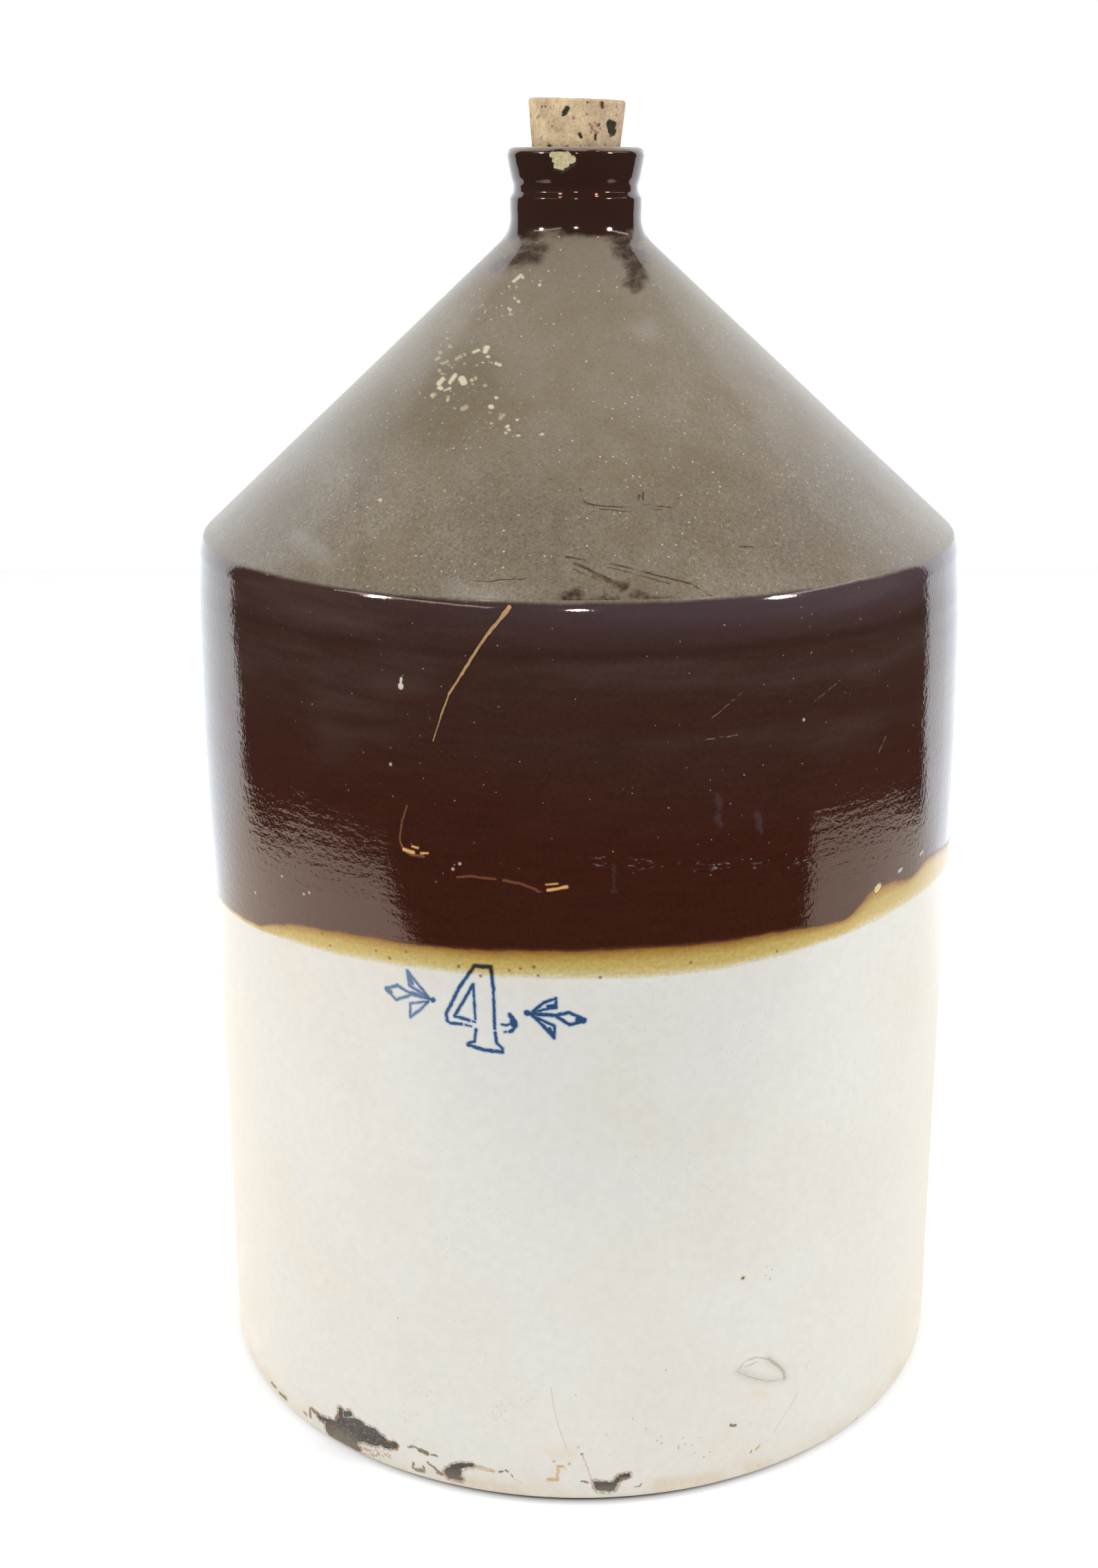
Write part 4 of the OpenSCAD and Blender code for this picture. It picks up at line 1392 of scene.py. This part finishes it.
@dataclass(frozen=True)
class CorkBark:
    """Natural cork: warm bark with upright grain and dark pores."""

    body: Colour = tint(192, 168, 136)
    sunny: Colour = tint(214, 192, 154)
    # Bark tone of the right half, which also carries painted shade.
    shaded_pink: Colour = tint(184, 158, 136)
    mean_r: float = 15.2
    pores: Strokes = (
        *lines(
            (0.8, -3.6, 28.4, -2.6, 29.8), (0.5, -4, 27.8, -3.6, 28.4),
            (1.3, 11.8, 25.2, 14.2, 24.6), (1.3, 12.6, 23.6, 14.6, 22.8),
            (0.5, 13, 22.2, 13.1, 21.6), (0.55, 1.3, 22, 1.8, 21.2), (0.4, 6.6, 21.8, 6.8, 20.4),
            (0.6, -3.6, 17.6, -3, 17.8), (0.5, -9.6, 18.2, -9, 17.6), (0.45, 8.4, 31.4, 8.6, 30.2),
        ),
        *dots(0.3, (-11.9, 30.4), (-10.4, 30.4), (3.6, 31.6), (7.8, 24.8), (0.1, 17)),
    )
    red_pores: Strokes = (
        *lines(
            (0.7, 8, 31.6, 8.7, 30.4), (0.75, -9.9, 18.3, -8.8, 18), (0.5, 5.2, 24.2, 5.4, 23.4),
            (0.5, 7.2, 24.6, 7.7, 24.9), (0.4, 6.4, 22.9, 6.8, 22.6), (0.4, -14.6, 27, -13.4, 27.8),
        ),
        *dots(0.45, (3.5, 28), (-0.7, 26.8), (15, 28), (10.6, 18.8), (12.8, 17.4)),
        *dots(0.4, (4.6, 25), (6.2, 25.4), (8.3, 23.6), (7.4, 22.4), (5, 22.6), (-6.4, 17)),
        *dots(0.35, (14.4, 30.6), (15.6, 23.4), (-13, 21), (-8, 24.4), (1.6, 18.4)),
    )

    def material(self) -> bpy.types.Material:
        """Make the cork's material."""
        made, board = new_material("cork_bark")
        coords = board.node("ShaderNodeTexCoord").outputs["Object"]
        point = board.vector("SCALE", coords, scale=1000.0)
        x, y, z = board.split(point)
        angle = board.math("ARCTAN2", x + 1.4, 0.0 - y)
        around = board.join(angle * self.mean_r, z - 406.2)
        grain = board.vector("MULTIPLY", point, (1.0, 1.0, 0.6))
        streak = board.noise(grain, 0.5, 4.0, 0.6)
        patches = board.noise(point, 0.16, 3.0)
        colour = board.mix(board.fade(patches, 0.38, 0.62), self.body, self.sunny)
        # Painted shade: the right half of the cork is made pinker and a little darker, part bark
        # tone and part shade.
        right = board.fade(x + (patches - 0.5) * 20.0, -2.0, 14.0)
        colour = board.mix(right * 0.6, colour, self.shaded_pink)
        look = Look(board, colour, board.math("ADD", 0.82, 0.0), streak * 0.12)
        look.shade(board.fade(streak, 0.25, 0.75) * 0.26 + 0.86)
        fine = board.noise(point, 1.6, 4.0, 0.75)
        look.shade(board.fade(fine, 0.25, 0.75) * 0.44 + 0.78)
        fleck = board.mottle(point, 0.8, 0.56, 0.66, 3.0, 0.65)
        look.cover(fleck * 0.5, tint(160, 116, 90))
        veins = board.fade(abs(board.noise(point, 0.22, 3.0, 0.6) - 0.5), 0.025, 0.0)
        look.cover(veins * 0.3, tint(150, 116, 84))
        foot = board.fade(z, 426.5, 423.5) * board.mottle(around, 0.55, 0.56, 0.64, 3.0)
        look.cover(foot * 0.7, tint(112, 76, 60), 0.9, -0.15)
        shaken = board.roughen(around, 0.35, 0.9)
        side = board.fade(board.math("SUBTRACT", 439.0, z), 0.4, 1.0)
        front = board.fade(y, 2.0, -1.0)
        red = board.mask(shaken, self.red_pores, 0.35, -0.25)
        look.cover(red * 0.7 * side * front, tint(136, 84, 66), None, -0.15)
        dark = board.mask(shaken, self.pores, 0.2, -0.25)
        look.cover(dark * side * front, tint(56, 54, 44), 0.9, -0.4)
        distance, chance = board.cells(board.vector("MULTIPLY", point, (1.0, 1.0, 0.6)), 0.33)
        pore = board.fade(distance, 0.3, 0.12) * board.fade(chance, 0.72, 0.8)
        look.cover(pore * 0.8, tint(104, 78, 58), 0.9, -0.3)
        board.show(look.shader(IOR=1.35))
        return made


@dataclass
class Cork:
    """The tapered cork, leaning a little in the mouth."""

    bark: CorkBark
    bottom_r: float = 12.75
    top_r: float = 16.1
    length: float = 33.0
    below_seat: float = 15.2
    seat_z: float = 421.34
    lean: float = 1.7
    edge: float = 1.0
    aside: float = -1.4

    def build(self) -> bpy.types.Object:
        """Make the cork with its worn edge and its deepest pores.

        Returns:
            The finished object, in the mouth.
        """
        bm = bmesh.new()
        bmesh.ops.create_cone(
            bm, cap_ends=True, cap_tris=False, segments=120, radius1=self.bottom_r * MM,
            radius2=self.top_r * MM, depth=self.length * MM,
        )
        rims = [e for e in bm.edges if abs(e.verts[0].co.z - e.verts[1].co.z) < 1e-7]
        bmesh.ops.bevel(
            bm, geom=rims, offset=self.edge * MM, offset_type="OFFSET", segments=3, profile=0.5,
            affect="EDGES", clamp_overlap=True, material=-1,
        )
        sides = [e for e in bm.edges if abs(e.verts[0].co.z - e.verts[1].co.z) > 0.02]
        bmesh.ops.subdivide_edges(bm, edges=sides, cuts=44)
        for cap in [f for f in bm.faces if len(f.verts) > 20]:
            for _ in range(9):
                bmesh.ops.inset_region(bm, faces=[cap], thickness=1.5 * MM, use_even_offset=True)
            bmesh.ops.poke(bm, faces=[cap])
        bmesh.ops.translate(bm, verts=bm.verts, vec=(0, 0, self.length / 2 * MM))
        for vert in bm.verts:
            self.weather(vert)
        lean = Matrix.Rotation(math.radians(self.lean), 3, "Y")
        bmesh.ops.translate(bm, verts=bm.verts, vec=(0, 0, -self.below_seat * MM))
        bmesh.ops.rotate(bm, verts=bm.verts, cent=(0, 0, 0), matrix=lean)
        seat = (self.aside * MM, 0, self.seat_z * MM)
        bmesh.ops.translate(bm, verts=bm.verts, vec=seat)
        bmesh.ops.recalc_face_normals(bm, faces=bm.faces)
        made = add_object("cork_stopper", bm)
        made.data.materials.append(self.bark.material())
        for polygon in made.data.polygons:
            polygon.use_smooth = True
        return made

    def weather(self, vert: bmesh.types.BMVert) -> None:
        """Move one point of the cork in by the bark's unevenness and pores."""
        point = vert.co / MM
        r = math.hypot(point.x, point.y)
        if r < 1e-6:
            return
        uneven = noise.noise(Vector((point.x, point.y, point.z * 0.5)) * 0.35)
        push = 0.12 * uneven - 0.13
        angle = math.atan2(point.x, -point.y)
        spot = (angle * self.bark.mean_r, point.z)
        if 1.0 < point.z < self.length - 0.5 and r > self.bottom_r - 0.8:
            gap = min(stroke.gap(spot) for stroke in self.bark.pores)
            push -= 0.55 * ease(-gap / 0.5 + 0.2)
        if point.z > self.length - 0.05:
            vert.co.z -= 0.12 * ease(noise.noise(Vector((point.x, point.y, 7.0)) * 0.5) * 2.2) * MM
            push = 0.0
        vert.co.x += push * MM * point.x / r
        vert.co.y += push * MM * point.y / r


def add_object(name: str, bm: bmesh.types.BMesh) -> bpy.types.Object:
    """Turn a bmesh into an object at the origin.

    Args:
        name: The object's name.
        bm: The bmesh, which is freed.

    Returns:
        The new object, in the scene.
    """
    mesh = bpy.data.meshes.new(name)
    bm.to_mesh(mesh)
    bm.free()
    made = bpy.data.objects.new(name, mesh)
    bpy.context.scene.collection.objects.link(made)
    return made


def united(body: bpy.types.Object, added: bpy.types.Object) -> bpy.types.Object:
    """Join one closed piece to another by an exact union and remove the second."""
    union = body.modifiers.new("union", "BOOLEAN")
    union.operation = "UNION"
    union.solver = "EXACT"
    union.object = added
    graph = bpy.context.evaluated_depsgraph_get()
    mesh = bpy.data.meshes.new_from_object(body.evaluated_get(graph))
    body.modifiers.clear()
    body.data = mesh
    bpy.data.objects.remove(added)
    return body


@dataclass
class Studio:
    """The white sweep, the soft light round it and the camera."""

    sweep_edge: tuple[Spot, ...] = (
        (-0.56, -0.415), (0.45, -0.25), (0.715, -0.31), (0.77, -0.11), (0.765, 0.1), (0.645, 0.315),
        (0.944, 0.477), (2.35, 1.4), (-2.35, 1.4), (-0.985, 0.41), (-0.745, 0.256), (-0.685, 0.13),
        (-0.735, -0.104), (-0.66, -0.284),
    )
    back_high: float = 2.5
    floor_shine: float = 1.05
    backdrop_shine: float = 1.06
    paper_glow: float = 0.33
    sky: float = 0.64
    sky_sides: float = 0.7
    dark: float = 0.03
    middle: float = 0.25
    lamp_away: float = 1.6
    lamps: tuple[tuple[float, float, float, float, Colour], ...] = (
        (-63.5, 33.0, 0.09, 34.0, (1.0, 1.0, 1.0)),
        (0.0, 33.0, 0.07, 34.0, (1.0, 1.0, 1.0)),
        (63.5, 33.0, 0.1, 34.0, (1.0, 1.0, 1.0)),
        (-36.0, 55.0, 0.055, 12.0, (1.0, 0.62, 0.5)),
        (49.0, 55.0, 0.055, 12.0, (1.0, 0.62, 0.5)),
    )
    strips: tuple[Spot, ...] = ((-53.0, 1.3), (84.0, 1.2))
    strip_up: float = 36.0
    strip_aim: float = 0.3
    strip_high: float = 0.1
    strip_bright: float = 3.6
    camera_at: tuple[float, float, float] = (0.0, -0.6715, 0.4205)
    camera_down: float = 0.3098
    lens: float = 44.78
    shift: float = -0.0198

    BACKDROP_EDGE = slice(7, 9)

    def paper_material(self, name: str, shine: float) -> bpy.types.Material:
        """Make the sweep's white paper, white to the camera apart from the shadow.

        Args:
            name: The material's name.
            shine: How much brighter than lit paper the glaze mirrors it.

        Returns:
            The material.
        """
        made, board = new_material(name)
        path = board.node("ShaderNodeLightPath")
        seen = Term(board, path.outputs["Is Camera Ray"])
        mirrored = Term(board, path.outputs["Is Glossy Ray"]).most(
            Term(board, path.outputs["Is Transmission Ray"])
        )
        near = board.node("ShaderNodeAmbientOcclusion", {"samples": 8}, {"Distance": 0.003})
        far = board.node("ShaderNodeAmbientOcclusion", {"samples": 8}, {"Distance": 0.014})
        place = board.node("ShaderNodeTexCoord").outputs["Object"]
        aside, back, _ = board.split(place)
        off = board.measure("LENGTH", place)
        under = board.fade(off, 0.17, 0.15) * board.fade(back, 0.02, -0.06)
        under = under * (board.fade(abs(aside), 0.13, 0.0) * 0.9 + 0.1)
        close, wide = Term(board, near.outputs["AO"]), Term(board, far.outputs["AO"])
        deep = (1.0 - close) * 0.9 + (1.0 - wide) * 0.26
        shadow = (deep * under * seen).least(1.0)
        ahead = board.fade(back, 0.42, 0.18)
        warm = board.mix(board.fade(aside, -0.3, 0.3), (0.75, 0.62, 0.48), (0.42, 0.36, 0.26))
        grain = board.noise(board.vector("MULTIPLY", place, (4.0, 1.0, 1.0)), 55.0, 3.0, 0.65)
        broken = board.fade(grain, 0.3, 0.7) * ahead * 0.7 + (1.0 - ahead * 0.35)
        glaze_sees = board.mix(ahead, (0.82, 0.93, 1.06), warm)
        paper = board.node(
            "ShaderNodeBsdfDiffuse",
            None,
            {"Color": board.mix(shadow, (0.8, 0.8, 0.79), (0.06, 0.07, 0.085))},
        )
        glow = board.node(
            "ShaderNodeEmission",
            None,
            {
                "Color": board.mix(mirrored, (0.98, 1.0, 1.04), glaze_sees),
                "Strength": seen * (1.0 - shadow) * self.paper_glow + mirrored * broken * shine,
            },
        )
        both = board.node(
            "ShaderNodeAddShader",
            None,
            {"Shader": paper.outputs["BSDF"], "Shader_001": glow.outputs["Emission"]},
        )
        board.show(both.outputs["Shader"])
        return made

    def build_sweep(self) -> None:
        """Lay the floor and stand the backdrop behind it."""
        bm = bmesh.new()
        corners = [bm.verts.new((x, y, 0.0)) for x, y in self.sweep_edge]
        bmesh.ops.contextual_create(bm, geom=corners)
        floor = add_object("floor", bm)
        bm = bmesh.new()
        edge = [bm.verts.new((x, y, 0.0)) for x, y in self.sweep_edge[self.BACKDROP_EDGE]]
        line = bm.edges.new(edge)
        raised = bmesh.ops.extrude_edge_only(bm, edges=[line])
        top = [v for v in raised["geom"] if isinstance(v, bmesh.types.BMVert)]
        bmesh.ops.translate(bm, verts=top, vec=(0, 0, self.back_high))
        backdrop = add_object("backdrop", bm)
        for piece, shine in ((floor, self.floor_shine), (backdrop, self.backdrop_shine)):
            piece.data.materials.append(self.paper_material(piece.name, shine))

    def light_world(self) -> None:
        """Light from all round, white to the camera and dark in what the glaze mirrors."""
        world = bpy.data.worlds.new("studio")
        world.use_nodes = True
        board = Board(world.node_tree)
        path = board.node("ShaderNodeLightPath")
        seen = Term(board, path.outputs["Is Camera Ray"])
        mirrored = Term(board, path.outputs["Is Glossy Ray"])
        soft = (1.0 - seen) * (1.0 - mirrored)
        aside, _, _ = board.split(board.node("ShaderNodeTexCoord").outputs["Generated"])
        strength = seen + mirrored * self.dark + soft * (aside * aside * self.sky_sides + self.sky)
        white = {"Color": (1, 1, 1, 1), "Strength": strength}
        glow = board.node("ShaderNodeBackground", None, white)
        board.show(glow.outputs["Background"], "World")
        bpy.context.scene.world = world

    def hang(self, name: str, turn: float, up: float, aim: float) -> bpy.types.AreaLight:
        """Hang an area lamp round the jug.

        Args:
            name: The lamp's name.
            turn: Degrees to the right of the front, as the jug stands.
            up: Degrees above level.
            aim: Height in metres of the point on the axis at which it is aimed.

        Returns:
            The lamp's data, to be given a shape and a brightness.
        """
        data = bpy.data.lights.new(name, "AREA")
        lamp = bpy.data.objects.new(name, data)
        turn, up = math.radians(turn), math.radians(up)
        flat = self.lamp_away * math.cos(up)
        high = self.lamp_away * math.sin(up) + self.middle
        place = Vector((flat * math.sin(turn), -flat * math.cos(turn), high))
        facing = (Vector((0, 0, aim)) - place).to_track_quat("-Z", "Y")
        lamp.matrix_world = Matrix.Translation(place) @ facing.to_matrix().to_4x4()
        bpy.context.scene.collection.objects.link(lamp)
        return data

    def hang_lamps(self) -> None:
        """Hang the round lamps that the glaze mirrors as points, and two wide strips."""
        for index, (turn, up, half, bright, colour) in enumerate(self.lamps):
            data = self.hang(f"lamp_{index}", turn, up, self.middle)
            data.shape = "DISK"
            data.size = 2 * half
            data.energy = bright * 4 * math.pi * half * half
            data.color = colour
        for index, (turn, wide) in enumerate(self.strips):
            data = self.hang(f"strip_{index}", turn, self.strip_up, self.strip_aim)
            data.shape = "RECTANGLE"
            data.size, data.size_y = wide, self.strip_high
            data.energy = self.strip_bright * math.pi * wide * self.strip_high

    def set_camera(self) -> None:
        """Stand the camera where the photograph was taken from."""
        data = bpy.data.cameras.new("camera")
        data.lens = self.lens
        data.sensor_width = 36.0
        data.sensor_fit = "AUTO"
        data.shift_x = self.shift
        camera = bpy.data.objects.new("camera", data)
        camera.location = self.camera_at
        camera.rotation_euler = (math.pi / 2 - self.camera_down, 0.0, 0.0)
        bpy.context.scene.collection.objects.link(camera)
        bpy.context.scene.camera = camera

    def build(self) -> None:
        """Set the whole studio up."""
        self.set_camera()
        self.build_sweep()
        self.light_world()
        self.hang_lamps()
        bpy.context.scene.view_settings.view_transform = "Standard"


def main() -> None:
    """Build the studio, the jug and the cork."""
    logging.basicConfig(level=logging.INFO, format="%(message)s")
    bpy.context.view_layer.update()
    Studio().build()
    log.info("studio: sweep, lamps and camera")
    pieces = (
        (JugBody(Stoneware()), "jug", "stoneware"),
        (Cork(CorkBark()), "cork", "cork"),
    )
    for maker, node, slot in pieces:
        made = maker.build()
        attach(made, "root")
        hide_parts(node)
        log.info("%s: %d faces", made.name, len(made.data.polygons))


if __name__ == "__main__":
    main()
